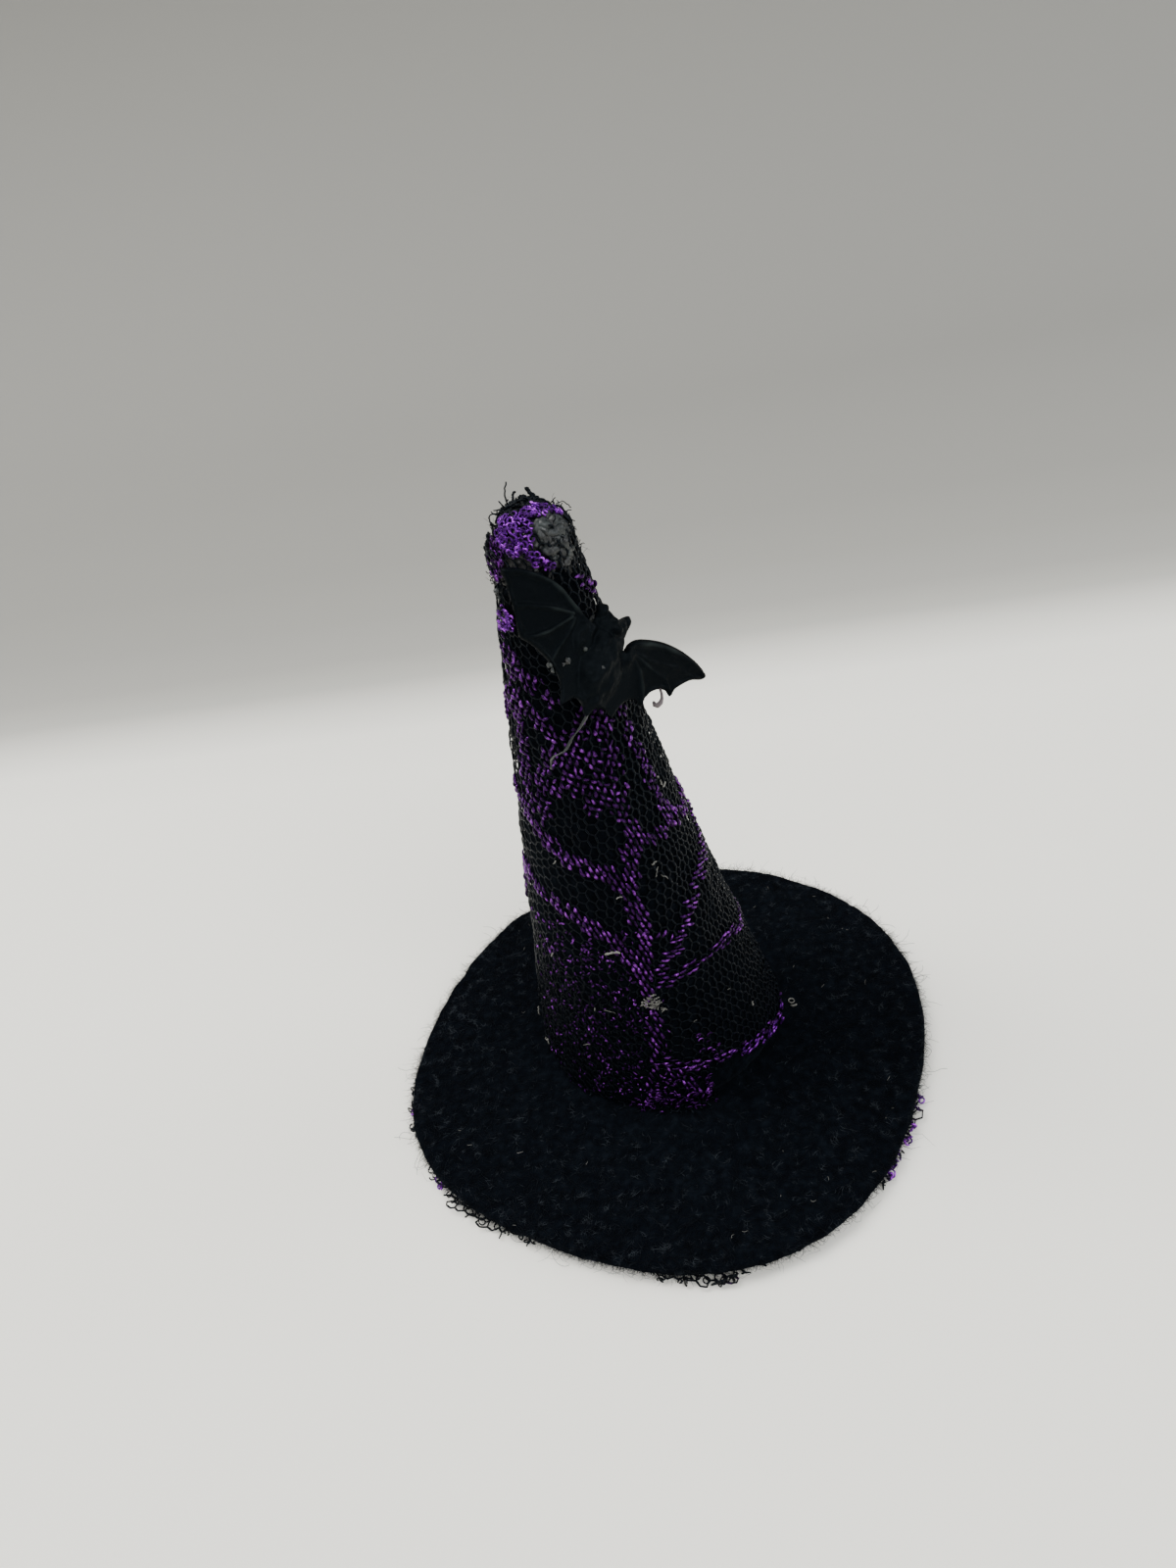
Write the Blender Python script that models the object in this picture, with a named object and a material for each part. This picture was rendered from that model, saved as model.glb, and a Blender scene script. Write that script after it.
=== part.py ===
"""Witch hat for a fashion doll: a felt brim, a rolled felt crown under a net skin, a bat charm and hot glue.

Metres, +Z up. The hat rests on its brim at Z = 0, its front (the bat's side) faces -Y, and the middle of its
bounding box is on the Z axis. Every piece is laid out around the middle of the brim first, and an empty
that carries them all moves the whole hat onto the axis.
"""

from math import cos, pi, radians, sin, tau

import bmesh
import bpy
import numpy as np
from mathutils import Matrix, Vector

MM = 0.001
GAP = 0.25 * MM  # between neighbouring solids

# Brim: a disc cut by hand, a little squarer than a circle
BRIM_RADIUS = 38.2 * MM
BRIM_LOBES = (  # waves around the cut edge: number, height in mm, angle of a crest in degrees
    (2, 0.18, 15.5),
    (3, 0.34, 43.7),
    (4, 0.91, 17.3),
    (5, 0.23, -20.0),
)
FELT = 1.5 * MM
HEAD_OPENING_RADIUS = 14.0 * MM

# Net under the brim, with three places where its raw edge sticks out past the felt
NET_DISC = 0.3 * MM
NET_INSET = 0.4 * MM
NET_TONGUES = (  # middle and half width in degrees, how far out in mm
    (215.0, 20.0, 1.9),
    (267.0, 11.0, 1.8),
    (325.0, 13.0, 1.2),
)

# Glue dots between the net and the felt
DOT_COUNT = 8
DOT_RADIUS = 2.5 * MM
DOT_HEIGHT = 0.4 * MM
DOT_RING_RADIUS = 26.0 * MM

# Crown: a tall, blunt cone that leans and bows to its right
CROWN_BASE = (0.34 * MM, 4.3 * MM)
CROWN_LEAN = (-4.85 * MM, 1.2 * MM)
CROWN_BOW = -0.76 * MM
HAT_HEIGHT = 86.0 * MM
CROWN_FOOT_RADIUS = 18.75 * MM
CROWN_TAPER = 0.195
CROWN_FLARE = 0.33  # per metre: how much the taper eases off towards the tip
DOME = 4.4 * MM
DOME_BLUNTNESS = 0.5  # 1 is a round dome, 0 a flat end
NET_SKIN = 0.4 * MM
ROLL_WALL = 1.4 * MM
ROLL_TOP = 81.0 * MM
LAP_ANGLE = radians(15.0)
LAP_BLEND = radians(10.0)
SEAM_ANGLE = radians(84.0)  # at the back

# Glue in the crown
TIP_STEM_RADIUS = 1.4 * MM
TIP_STEM_FOOT = 75.5 * MM
TIP_HEAD_TOP = 85.0 * MM
SEAM_BEAD = 0.7 * MM
SEAM_BEAD_ENDS = (6.0 * MM, 66.0 * MM)
BASE_BEAD = 0.8 * MM

# Bat charm, drawn in its own plane: X along the wings, Y to the head, Z away from the hat
BAT_PLACE = (1.73 * MM, -1.49 * MM, 71.2 * MM)
BAT_FACES = radians(-52.0)
BAT_LOOKS_UP = radians(22.4)
BAT_ROLL = radians(-49.6)
BAT_PLATE = (-0.6 * MM, 0.5 * MM)
BAT_BACK = -0.8 * MM
BAT_HALF = (  # right half of the outline in mm, from between the ears round to the tail
    (0.4, 3.1), (2.1, 4.2), (2.4, 2.8), (2.3, 0.8), (2.9, 1.7), (3.9, 2.5), (5.8, 3.1), (7.8, 3.6),
    (10.0, 3.8), (12.2, 3.6), (13.9, 3.1), (15.3, 2.3), (14.4, 1.3), (13.3, 0.5), (12.1, -0.8),
    (11.3, -2.0), (10.7, -3.0), (9.7, -2.7), (8.5, -3.0), (7.6, -3.7), (6.8, -4.9), (5.7, -5.0),
    (4.6, -5.7), (3.8, -7.7), (2.2, -7.2), (0.9, -7.4), (0.0, -8.6),
)
BAT_GLUE_PLACE = (-0.4 * MM, 0.8 * MM)
BAT_GLUE_RADIUS = 3.0 * MM


def clear_scene():
    for thing in list(bpy.data.objects):
        bpy.data.objects.remove(thing, do_unlink=True)


def material(name, colour, roughness, metallic=0.0):
    made = bpy.data.materials.new(name)
    made.use_nodes = True
    shader = made.node_tree.nodes["Principled BSDF"]
    shader.inputs["Base Color"].default_value = (*colour, 1.0)
    shader.inputs["Roughness"].default_value = roughness
    shader.inputs["Metallic"].default_value = metallic
    return made


def add_part(name, bm, look, carrier, smooth=None):
    """Turn the bmesh into a named object on the carrier; smooth is the angle its round faces stay under."""
    bmesh.ops.recalc_face_normals(bm, faces=bm.faces)
    mesh = bpy.data.meshes.new(name)
    bm.to_mesh(mesh)
    bm.free()
    if smooth:
        mesh.shade_smooth()
        mesh.set_sharp_from_angle(angle=smooth)
    part = bpy.data.objects.new(name, mesh)
    part.data.materials.append(look)
    part.parent = carrier
    bpy.context.collection.objects.link(part)
    return part


def add_bead(name, points, radii, look, carrier):
    """A bead of glue: a tube through the points, with a radius at each of them and closed ends."""
    curve = bpy.data.curves.new(name, "CURVE")
    curve.dimensions = "3D"
    curve.bevel_depth = 1.0
    curve.bevel_resolution = 3
    curve.use_fill_caps = True
    line = curve.splines.new("POLY")
    line.points.add(len(points) - 1)
    for spot, place, radius in zip(line.points, points, radii):
        spot.co = (*place, 1.0)
        spot.radius = radius
    bead = bpy.data.objects.new(name, curve)
    bead.data.materials.append(look)
    bead.parent = carrier
    bpy.context.collection.objects.link(bead)
    return bead


def boolean(target, cutter, operation):
    cutter.hide_render = True
    cutter.display_type = "WIRE"
    cut = target.modifiers.new(operation.lower(), "BOOLEAN")
    cut.operation = operation
    cut.object = cutter


def rings_to_solid(rings, ends="capped"):
    """Join closed loops, all with as many points; the end loops are capped, joined together or left open."""
    bm = bmesh.new()
    loops = [[bm.verts.new(point) for point in ring] for ring in rings]
    following = loops[1:] + (loops[:1] if ends == "joined" else [])
    for lower, upper in zip(loops, following):
        for i in range(len(lower)):
            j = (i + 1) % len(lower)
            bm.faces.new((lower[i], lower[j], upper[j], upper[i]))
    if ends == "capped":
        bm.faces.new(loops[0])
        bm.faces.new(loops[-1])
    return bm


# Brim and its net


def brim_reach(angle):
    """Distance from the brim's middle to its cut edge."""
    waves = sum(height * cos(count * angle - radians(crest * count)) for count, height, crest in BRIM_LOBES)
    return BRIM_RADIUS + waves * MM


def net_reach(angle):
    reach = brim_reach(angle) - NET_INSET
    for middle, half_width, out in NET_TONGUES:
        off = (angle - radians(middle) + pi) % tau - pi
        if abs(off) < radians(half_width):
            reach += out * MM * 0.5 * (1.0 + cos(pi * off / radians(half_width)))
    return reach


def flat_ring(reach, bottom, top, count):
    """A flat sheet from bottom to top: its edge at reach(angle), with the round head opening through it."""
    middle_x, middle_y = CROWN_BASE
    edge, hole = [], []
    for i in range(count):
        c, s = cos(tau * i / count), sin(tau * i / count)
        out = reach(tau * i / count)
        edge.append((out * c, out * s))
        hole.append((middle_x + HEAD_OPENING_RADIUS * c, middle_y + HEAD_OPENING_RADIUS * s))
    levels = ((hole, bottom), (edge, bottom), (edge, top), (hole, top))
    return rings_to_solid([[(x, y, z) for x, y in line] for line, z in levels], ends="joined")


def add_brim(looks, carrier):
    net_top = NET_DISC
    felt_bottom = net_top + DOT_HEIGHT + 2 * GAP
    felt_top = felt_bottom + FELT
    add_part("brim_net", flat_ring(net_reach, 0.0, net_top, 90), looks["net"], carrier)
    add_part("brim_felt", flat_ring(brim_reach, felt_bottom, felt_top, 72), looks["felt"], carrier)
    for i in range(DOT_COUNT):
        angle = tau * (i + 0.5) / DOT_COUNT
        rings = []
        for radius, share in ((DOT_RADIUS, 0.0), (DOT_RADIUS, 0.5), (0.8 * DOT_RADIUS, 1.0)):
            turns = [tau * k / 16 for k in range(16)]
            rings.append([(radius * cos(t), radius * sin(t), share * DOT_HEIGHT) for t in turns])
        dot = add_part(f"brim_glue_{i + 1}", rings_to_solid(rings), looks["glue"], carrier)
        dot.location = (DOT_RING_RADIUS * cos(angle), DOT_RING_RADIUS * sin(angle), net_top + GAP)
    return felt_top


# Crown


def crown_middle(z):
    """Where the crown's bent centre line is at height z."""
    up = z / HAT_HEIGHT
    x = CROWN_BASE[0] + CROWN_LEAN[0] * up + CROWN_BOW * 4 * up * (1 - up)
    y = CROWN_BASE[1] + CROWN_LEAN[1] * up
    return x, y


def crown_radius(z):
    """Outside radius of the net skin below the dome."""
    return CROWN_FOOT_RADIUS - CROWN_TAPER * z + CROWN_FLARE * z * z


def round_ring(radius, z, count):
    x, y = crown_middle(z)
    turns = [tau * i / count for i in range(count)]
    return [(x + radius * cos(turn), y + radius * sin(turn), z) for turn in turns]


def dome_rings(shrink, foot, count, levels):
    """Rings of a skin that lies shrink inside the crown's outside, from the foot to the blunt top."""
    spring = HAT_HEIGHT - DOME
    rings = [round_ring(crown_radius(z) - shrink, z, count) for z in np.linspace(foot, spring, levels)]
    for turn in (25.0, 48.0, 68.0, 82.0):
        z = spring + (DOME - shrink) * sin(radians(turn))
        radius = (crown_radius(spring) - shrink) * cos(radians(turn)) ** DOME_BLUNTNESS
        rings.append(round_ring(radius, z, count))
    return rings


def add_crown_net(foot, looks, carrier):
    outside = dome_rings(0.0, foot, 32, 10)
    inside = dome_rings(NET_SKIN, foot, 32, 10)
    bm = rings_to_solid(inside[::-1] + outside)
    add_part("crown_net", bm, looks["net"], carrier, smooth=radians(40))


def roll_section(z, count=34):
    """The rolled felt cut level at height z: once round, with its inner end tucked under the outer one."""
    x, y = crown_middle(z)
    outer = crown_radius(z) - NET_SKIN - GAP
    tuck = ROLL_WALL + GAP
    turns = np.linspace(0.0, tau + LAP_ANGLE, count)
    outside, inside = [], []
    for turn in turns:
        past = (turn - tau + LAP_BLEND) / LAP_BLEND
        sunk = tuck * min(max(past, 0.0), 1.0)
        angle = SEAM_ANGLE + turn
        for line, radius in ((outside, outer - sunk), (inside, outer - sunk - ROLL_WALL)):
            line.append((x + radius * cos(angle), y + radius * sin(angle), z))
    return outside + inside[::-1]


def add_crown_felt(foot, looks, carrier):
    sections = [roll_section(z) for z in np.linspace(foot, ROLL_TOP, 9)]
    bm = rings_to_solid(sections, ends="open")
    bm.verts.ensure_lookup_table()
    count = len(sections[0])
    for start in (0, count * (len(sections) - 1)):
        ring = bm.verts[start : start + count]
        for i in range(count // 2 - 1):
            bm.faces.new((ring[i], ring[i + 1], ring[count - 2 - i], ring[count - 1 - i]))
    add_part("crown_felt", bm, looks["felt"], carrier, smooth=radians(40))


def add_crown_glue(foot, looks, carrier):
    """The plug in the tip, the bead along the felt's inner edge, and the bead round the foot."""
    under_cap = ROLL_TOP + GAP
    head = crown_radius(under_cap) - NET_SKIN - GAP - 0.4 * MM
    profile = (
        (TIP_STEM_FOOT, 0.6 * TIP_STEM_RADIUS),
        (TIP_STEM_FOOT + 0.8 * MM, TIP_STEM_RADIUS),
        (under_cap, TIP_STEM_RADIUS),
        (under_cap + 0.05 * MM, head),
        (under_cap + 2.0 * MM, 0.96 * head),
        (TIP_HEAD_TOP - 0.6 * MM, 0.8 * head),
        (TIP_HEAD_TOP, 0.45 * head),
    )
    rings = [round_ring(radius, z, 20) for z, radius in profile]
    add_part("crown_tip_glue", rings_to_solid(rings), looks["glue"], carrier, smooth=radians(40))

    points, radii = [], []
    for z in np.linspace(*SEAM_BEAD_ENDS, 20):
        x, y = crown_middle(z)
        away = crown_radius(z) - NET_SKIN - ROLL_WALL - 2 * GAP - SEAM_BEAD
        angle = SEAM_ANGLE + LAP_ANGLE + (SEAM_BEAD + 2 * GAP) / (away - ROLL_WALL)
        points.append((x + away * cos(angle), y + away * sin(angle), z))
        radii.append(SEAM_BEAD * (1.0 + 0.15 * sin(z / MM)))
    radii[0] = radii[-1] = 0.5 * SEAM_BEAD
    add_bead("crown_seam_glue", points, [r - 0.1 * MM for r in radii], looks["glue"], carrier)

    x, y = crown_middle(foot)
    away = crown_radius(foot + 2 * BASE_BEAD) - NET_SKIN - ROLL_WALL - 2 * GAP - BASE_BEAD
    starts = SEAM_ANGLE + LAP_ANGLE + radians(14)
    ends = SEAM_ANGLE + tau - LAP_BLEND - radians(8)
    turns = np.linspace(starts, ends, 40)
    points = [(x + away * cos(turn), y + away * sin(turn), foot + BASE_BEAD) for turn in turns]
    radii = [BASE_BEAD] * len(points)
    radii[0] = radii[-1] = 0.5 * BASE_BEAD
    add_bead("crown_base_glue", points, radii, looks["glue"], carrier)


# Bat charm


def bat_axes():
    """The bat's place and turn: it looks out and up from the crown and hangs with one wing low."""
    flat = cos(BAT_LOOKS_UP)
    out = Vector((cos(BAT_FACES) * flat, sin(BAT_FACES) * flat, sin(BAT_LOOKS_UP)))
    level = Vector((0.0, 0.0, 1.0)).cross(out).normalized()
    up = out.cross(level)
    wing = level * cos(BAT_ROLL) + up * sin(BAT_ROLL)
    head = out.cross(wing)
    turn = Matrix((wing, head, out)).transposed().to_4x4()
    return Matrix.Translation(Vector(BAT_PLACE)) @ turn


def ball(name, middle, half_sizes, look, carrier):
    bm = bmesh.new()
    bmesh.ops.create_uvsphere(bm, u_segments=16, v_segments=10, radius=1.0)
    bmesh.ops.scale(bm, vec=half_sizes, verts=bm.verts)
    bmesh.ops.translate(bm, vec=middle, verts=bm.verts)
    return add_part(name, bm, look, carrier, smooth=radians(40))


def add_bat(looks, carrier):
    right = [(x * MM, y * MM) for x, y in BAT_HALF]
    left = [(-x, y) for x, y in right[-2::-1]]
    outline = right + left
    bm = rings_to_solid([[(x, y, z) for x, y in outline] for z in BAT_PLATE])
    bat = add_part("bat_charm", bm, looks["bat"], carrier)
    body = ball("bat_body", (0, -2.2 * MM, 0.1 * MM), (2.6 * MM, 5.0 * MM, 1.5 * MM), looks["bat"], carrier)
    face = ball("bat_face", (0, 2.1 * MM, 0.1 * MM), (2.1 * MM, 1.9 * MM, 1.4 * MM), looks["bat"], carrier)
    behind = bmesh.new()
    bmesh.ops.create_cube(behind, size=20 * MM)
    bmesh.ops.translate(behind, vec=(0, 0, BAT_BACK - 10 * MM), verts=behind.verts)
    back = add_part("bat_back_cut", behind, looks["bat"], carrier)
    boolean(bat, body, "UNION")
    boolean(bat, face, "UNION")
    boolean(bat, back, "DIFFERENCE")
    place = bat_axes()
    for thing in (bat, body, face, back):
        thing.matrix_local = place
    return place


def add_bat_glue(place, foot, looks, carrier):
    """The blob that fills the room between the bat's back and the net."""
    x, y = BAT_GLUE_PLACE
    size = (BAT_GLUE_RADIUS, BAT_GLUE_RADIUS, 2.6 * MM)
    blob = ball("bat_glue", (x, y, BAT_BACK - GAP - 1.6 * MM), size, looks["glue"], carrier)
    blob.matrix_local = place

    front = bmesh.new()
    bmesh.ops.create_cube(front, size=12 * MM)
    bmesh.ops.translate(front, vec=(x, y, BAT_BACK - GAP + 6 * MM), verts=front.verts)
    cutter = add_part("bat_glue_front_cut", front, looks["glue"], carrier)
    cutter.matrix_local = place
    boolean(blob, cutter, "DIFFERENCE")

    skin = rings_to_solid(dome_rings(-GAP, foot, 64, 14))
    boolean(blob, add_part("bat_glue_crown_cut", skin, looks["glue"], carrier), "DIFFERENCE")


def settle(carrier):
    """Move the carrier so that the middle of the hat's bounding box is on the Z axis."""
    bpy.context.view_layer.update()
    corners = []
    for part in carrier.children:
        if not part.hide_render:
            corners += [part.matrix_world @ Vector(corner) for corner in part.bound_box]
    spots = np.array(corners)
    middle = (spots.min(axis=0) + spots.max(axis=0)) / 2
    carrier.location = (-middle[0], -middle[1], 0.0)


def main():
    clear_scene()
    looks = {
        "felt": material("black_felt", (0.010, 0.012, 0.014), 0.95),
        "net": material("black_net", (0.012, 0.010, 0.016), 0.7),
        "glue": material("hot_glue", (0.55, 0.53, 0.46), 0.3),
        "bat": material("bat_plastic", (0.012, 0.015, 0.015), 0.35),
    }
    carrier = bpy.data.objects.new("hat", None)
    bpy.context.collection.objects.link(carrier)
    brim_top = add_brim(looks, carrier)
    foot = brim_top + GAP
    add_crown_felt(foot, looks, carrier)
    add_crown_net(foot, looks, carrier)
    add_crown_glue(foot, looks, carrier)
    place = add_bat(looks, carrier)
    add_bat_glue(place, foot, looks, carrier)
    settle(carrier)


main()
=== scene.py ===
# %% [markdown]
# # A doll's witch hat
# This lesson dresses a small witch hat: a felt brim, a tall felt cone under hexagonal net with a
# purple spider web knitted into it, and a black bat glued near the tip. Everything here is built
# around it, in metres.
#
# The sizes in this file are easier to read in millimetres, so shapes are worked out in millimetres
# with numpy and turned into metres once, when a mesh is made.

# %% Load the frame
from math import cos, pi, radians, sin, sqrt, tau

import bmesh
import bpy
import numpy as np
from mathutils import Matrix, Vector
from mathutils.geometry import delaunay_2d_cdt


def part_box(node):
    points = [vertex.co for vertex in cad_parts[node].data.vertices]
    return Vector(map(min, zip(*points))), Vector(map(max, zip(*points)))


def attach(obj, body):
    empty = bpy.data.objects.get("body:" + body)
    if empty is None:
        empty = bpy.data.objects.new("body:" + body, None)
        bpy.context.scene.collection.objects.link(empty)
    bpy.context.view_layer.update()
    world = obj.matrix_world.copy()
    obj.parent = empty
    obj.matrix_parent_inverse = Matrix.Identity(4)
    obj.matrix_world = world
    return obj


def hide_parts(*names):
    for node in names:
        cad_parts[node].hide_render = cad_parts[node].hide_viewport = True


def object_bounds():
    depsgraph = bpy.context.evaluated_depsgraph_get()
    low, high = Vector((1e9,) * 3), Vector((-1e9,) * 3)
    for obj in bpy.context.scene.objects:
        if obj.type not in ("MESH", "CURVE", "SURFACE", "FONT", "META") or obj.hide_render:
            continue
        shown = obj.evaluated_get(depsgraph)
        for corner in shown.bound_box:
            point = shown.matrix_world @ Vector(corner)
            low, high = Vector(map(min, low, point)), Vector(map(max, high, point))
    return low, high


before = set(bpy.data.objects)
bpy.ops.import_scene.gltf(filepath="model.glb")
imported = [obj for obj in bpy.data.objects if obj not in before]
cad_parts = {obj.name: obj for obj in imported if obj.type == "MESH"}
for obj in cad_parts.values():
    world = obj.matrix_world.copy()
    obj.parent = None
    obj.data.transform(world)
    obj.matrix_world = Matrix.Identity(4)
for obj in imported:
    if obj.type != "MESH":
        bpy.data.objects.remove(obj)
cad_low, cad_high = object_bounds()
MM = 0.001
cad_size = [round((high - low) / MM, 1) for low, high in zip(cad_low, cad_high)]
print("the CAD hat is", cad_size, "mm, and its pieces are", sorted(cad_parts))

# %% [markdown]
# ## Measuring the CAD pieces
# The net and the fibres have to lie exactly on the cone, so its centre line and radius are read from
# the CAD skin instead of being typed in again. Its points lie in level rings. For each height we keep
# the ring's middle and its widest radius. The brim's outline is read the same way, as a distance from
# the middle for each angle.


# %% Read the cone and the brim
def corners_mm(node):
    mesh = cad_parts[node].data
    spots = np.empty(len(mesh.vertices) * 3)
    mesh.vertices.foreach_get("co", spots)
    return spots.reshape(-1, 3) / MM


def level_rings(spots):
    """Height, middle x, middle y and radius of each level ring of points, from the bottom up."""
    rings = []
    for height in np.unique(spots[:, 2].round(2)):
        ring = spots[abs(spots[:, 2] - height) < 0.02]
        middle = (ring.min(axis=0) + ring.max(axis=0)) / 2
        rings.append((height, middle[0], middle[1], np.hypot(*(ring - middle)[:, :2].T).max()))
    return np.array(rings)


def outline_reader(node):
    """A function that gives the outline's distance from the brim's middle at any angle in radians."""
    spots = corners_mm(node)
    edge = spots[np.hypot(spots[:, 0], spots[:, 1]) > 30.0]
    turns = np.arctan2(edge[:, 1], edge[:, 0])
    order = np.argsort(turns)
    reach = np.hypot(edge[:, 0], edge[:, 1])[order]
    return lambda turn: np.interp(turn, turns[order], reach, period=tau)


skin_rings = level_rings(corners_mm("crown_net"))
DOME_HEIGHT = 4.4  # mm, the rounded top of the cone
CONE_FOOT = skin_rings[0, 0]
CONE_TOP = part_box("crown_net")[1].z / MM + 0.04
wall_rings = skin_rings[skin_rings[:, 0] < CONE_TOP - DOME_HEIGHT + 0.1]
HAND_CUT = [  # (angle in degrees, how far the scissors strayed from the drawn outline in mm)
    (-180, -0.2), (-165, -0.1), (-145, 0.1), (-80, 0.15), (-60, 0.45), (-45, 0.5), (-30, 0.2), (-10, 0.0),
    (20, -0.15), (45, -0.55), (70, -0.75), (100, -0.8), (130, -0.75), (150, -0.6), (168, -0.35),
]
drawn_felt, drawn_net_edge = outline_reader("brim_felt"), outline_reader("brim_net")


def strayed(turn):
    return np.interp(np.degrees(turn), *np.array(HAND_CUT, float).T, period=360.0)


def felt_reach(turn):
    return drawn_felt(turn) + strayed(turn)


def net_reach(turn):
    return drawn_net_edge(turn) + strayed(turn)


BRIM_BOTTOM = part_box("brim_felt")[0].z / MM
BRIM_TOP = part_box("brim_felt")[1].z / MM
OPENING_RADIUS = 14.0
OPENING_MIDDLE = wall_rings[0, 1:3]
print(f"the cone goes from {CONE_FOOT:.1f} to {CONE_TOP:.1f} mm up")
print(f"it is {2 * wall_rings[0, 3]:.1f} mm wide at its foot")
print(f"the brim is {felt_reach(0.0):.1f} mm from its middle to its right edge")

# %% [markdown]
# ## The camera
# The view looks down on the hat from above its front, with the camera turned a little, so that the
# hat seems to lean. Aiming a camera is easiest with a matrix made of its right, up and back
# directions.

# %% Camera
CAMERA_DISTANCE = 178.5  # mm from the brim's middle
CAMERA_LOOKS_DOWN = radians(37.1)
CAMERA_ROLL = radians(-11.8)
LENS = 27.05
AIM = (0.28, 1.03)  # mm, the brim's middle
AIM_OFF_CENTRE = (0.0670, -0.2195)  # where the aim point is in the view, as slopes from its middle


def camera_axes():
    level = Vector((1.0, 0.0, 0.0))
    ahead = Vector((0.0, cos(CAMERA_LOOKS_DOWN), -sin(CAMERA_LOOKS_DOWN)))
    above = level.cross(ahead)
    right = cos(CAMERA_ROLL) * level + sin(CAMERA_ROLL) * above
    up = cos(CAMERA_ROLL) * above - sin(CAMERA_ROLL) * level
    return right, up, ahead


right, up, ahead = camera_axes()
sight = ahead + AIM_OFF_CENTRE[0] * right + AIM_OFF_CENTRE[1] * up
camera = bpy.data.objects.new("camera", bpy.data.cameras.new("camera"))
camera.data.lens = LENS
camera.data.clip_start = 0.005
camera.data.clip_end = 10.0
place = Vector((AIM[0], AIM[1], 0.0)) * MM - sight * CAMERA_DISTANCE * MM
camera.matrix_world = Matrix.Translation(place) @ Matrix((right, up, -ahead)).transposed().to_4x4()
bpy.context.scene.collection.objects.link(camera)
bpy.context.scene.camera = camera
print("the camera is at", [round(value / MM) for value in place], "mm")

# %% [markdown]
# ## Light and table
# The main light is a big soft panel above and behind on the left, like a window. A weaker panel in
# front keeps the shadow under the brim soft, and a small one at the right picks out the edges of the
# threads. The table is a sheet of card that curves up into a wall, far enough back to leave room for
# a camera behind the hat. Its colour is painted from white to grey a little way behind the hat: painted
# shade, where the light falls off towards the wall.


# %% Lights and the card
def soft_panel(name, place, aim, size, power, colour):
    lamp = bpy.data.lights.new(name, "AREA")
    lamp.shape = "DISK"
    lamp.size = size
    lamp.energy = power
    lamp.color = colour
    panel = bpy.data.objects.new(name, lamp)
    panel.location = place
    panel.rotation_euler = (Vector(aim) - Vector(place)).to_track_quat("-Z", "Y").to_euler()
    bpy.context.scene.collection.objects.link(panel)
    return panel


soft_panel("window_light", (-0.42, 0.34, 0.80), (0.0, 0.0, 0.0), 0.85, 21.0, (1.0, 0.99, 0.975))
soft_panel("front_light", (0.25, -0.60, 0.65), (0.0, 0.0, 0.03), 0.8, 7.0, (0.98, 0.985, 1.0))
soft_panel("side_light", (0.75, 0.15, 0.40), (0.02, 0.0, 0.0), 0.5, 2.6, (0.90, 0.95, 1.0))
world = bpy.data.worlds.new("room")
world.use_nodes = True
world.node_tree.nodes["Background"].inputs["Color"].default_value = (0.97, 0.98, 1.0, 1.0)
world.node_tree.nodes["Background"].inputs["Strength"].default_value = 0.5
bpy.context.scene.world = world


def card_table():
    """A card that lies flat in front and curves up into a wall behind."""
    flat_back, bend, width, wall = 0.26, 0.16, 1.6, 0.9
    line = [(-1.2, 0.0), (flat_back, 0.0)]
    line += [(flat_back + bend * sin(t), bend * (1 - cos(t))) for t in np.linspace(0.05, pi / 2, 24)]
    line.append((flat_back + bend, bend + wall))
    bm = bmesh.new()
    rows = [[bm.verts.new((x, y, z)) for x in (-width, width)] for y, z in line]
    for near, far in zip(rows, rows[1:]):
        bm.faces.new((near[0], near[1], far[1], far[0]))
    mesh = bpy.data.meshes.new("card")
    bm.to_mesh(mesh)
    bm.free()
    mesh.shade_smooth()
    card = bpy.data.objects.new("card", mesh)
    bpy.context.scene.collection.objects.link(card)
    return card


def colour_ramp(nodes, stops):
    """A colour ramp with a stop at each (position, colour)."""
    ramp = nodes.new("ShaderNodeValToRGB")
    while len(ramp.color_ramp.elements) < len(stops):
        ramp.color_ramp.elements.new(0.5)
    for element, (position, colour) in zip(ramp.color_ramp.elements, stops):
        element.position = position
        element.color = (*colour, 1.0)
    return ramp


# painted shade: how dark the card is painted at each place in the fade
CARD_PAINTED_SHADE = [  # (place in the fade from front to back, tone)
    (0.0, 0.88), (0.08, 0.82), (0.14, 0.60), (0.19, 0.38), (0.25, 0.30), (0.35, 0.26), (0.5, 0.235),
    (1.0, 0.215),
]


def paint_card_with_shade():
    """White card with painted shade: its colour turns to a soft grey a little way behind the hat, where the
    light falls off.
    """
    paint = bpy.data.materials.new("card_white_painted_shade")
    paint.use_nodes = True
    nodes, links = paint.node_tree.nodes, paint.node_tree.links
    spot = nodes.new("ShaderNodeTexCoord")
    parts = nodes.new("ShaderNodeSeparateXYZ")
    slant = nodes.new("ShaderNodeMath")
    slant.operation = "MULTIPLY_ADD"
    slant.inputs[1].default_value = 0.136
    fade = nodes.new("ShaderNodeMapRange")
    fade.inputs["From Min"].default_value = 0.080
    fade.inputs["From Max"].default_value = 0.280
    # painted shade: the card's colour darkens from the front towards the wall
    shade = colour_ramp(nodes, [(share, (tone, tone * 0.985, tone * 0.90)) for share, tone in CARD_PAINTED_SHADE])
    links.new(spot.outputs["Object"], parts.inputs[0])
    links.new(parts.outputs["X"], slant.inputs[0])
    links.new(parts.outputs["Y"], slant.inputs[2])
    links.new(slant.outputs[0], fade.inputs["Value"])
    links.new(fade.outputs[0], shade.inputs["Fac"])
    links.new(shade.outputs["Color"], nodes["Principled BSDF"].inputs["Base Color"])
    nodes["Principled BSDF"].inputs["Roughness"].default_value = 0.9
    return paint


card = card_table()
card.data.materials.append(paint_card_with_shade())
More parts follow.
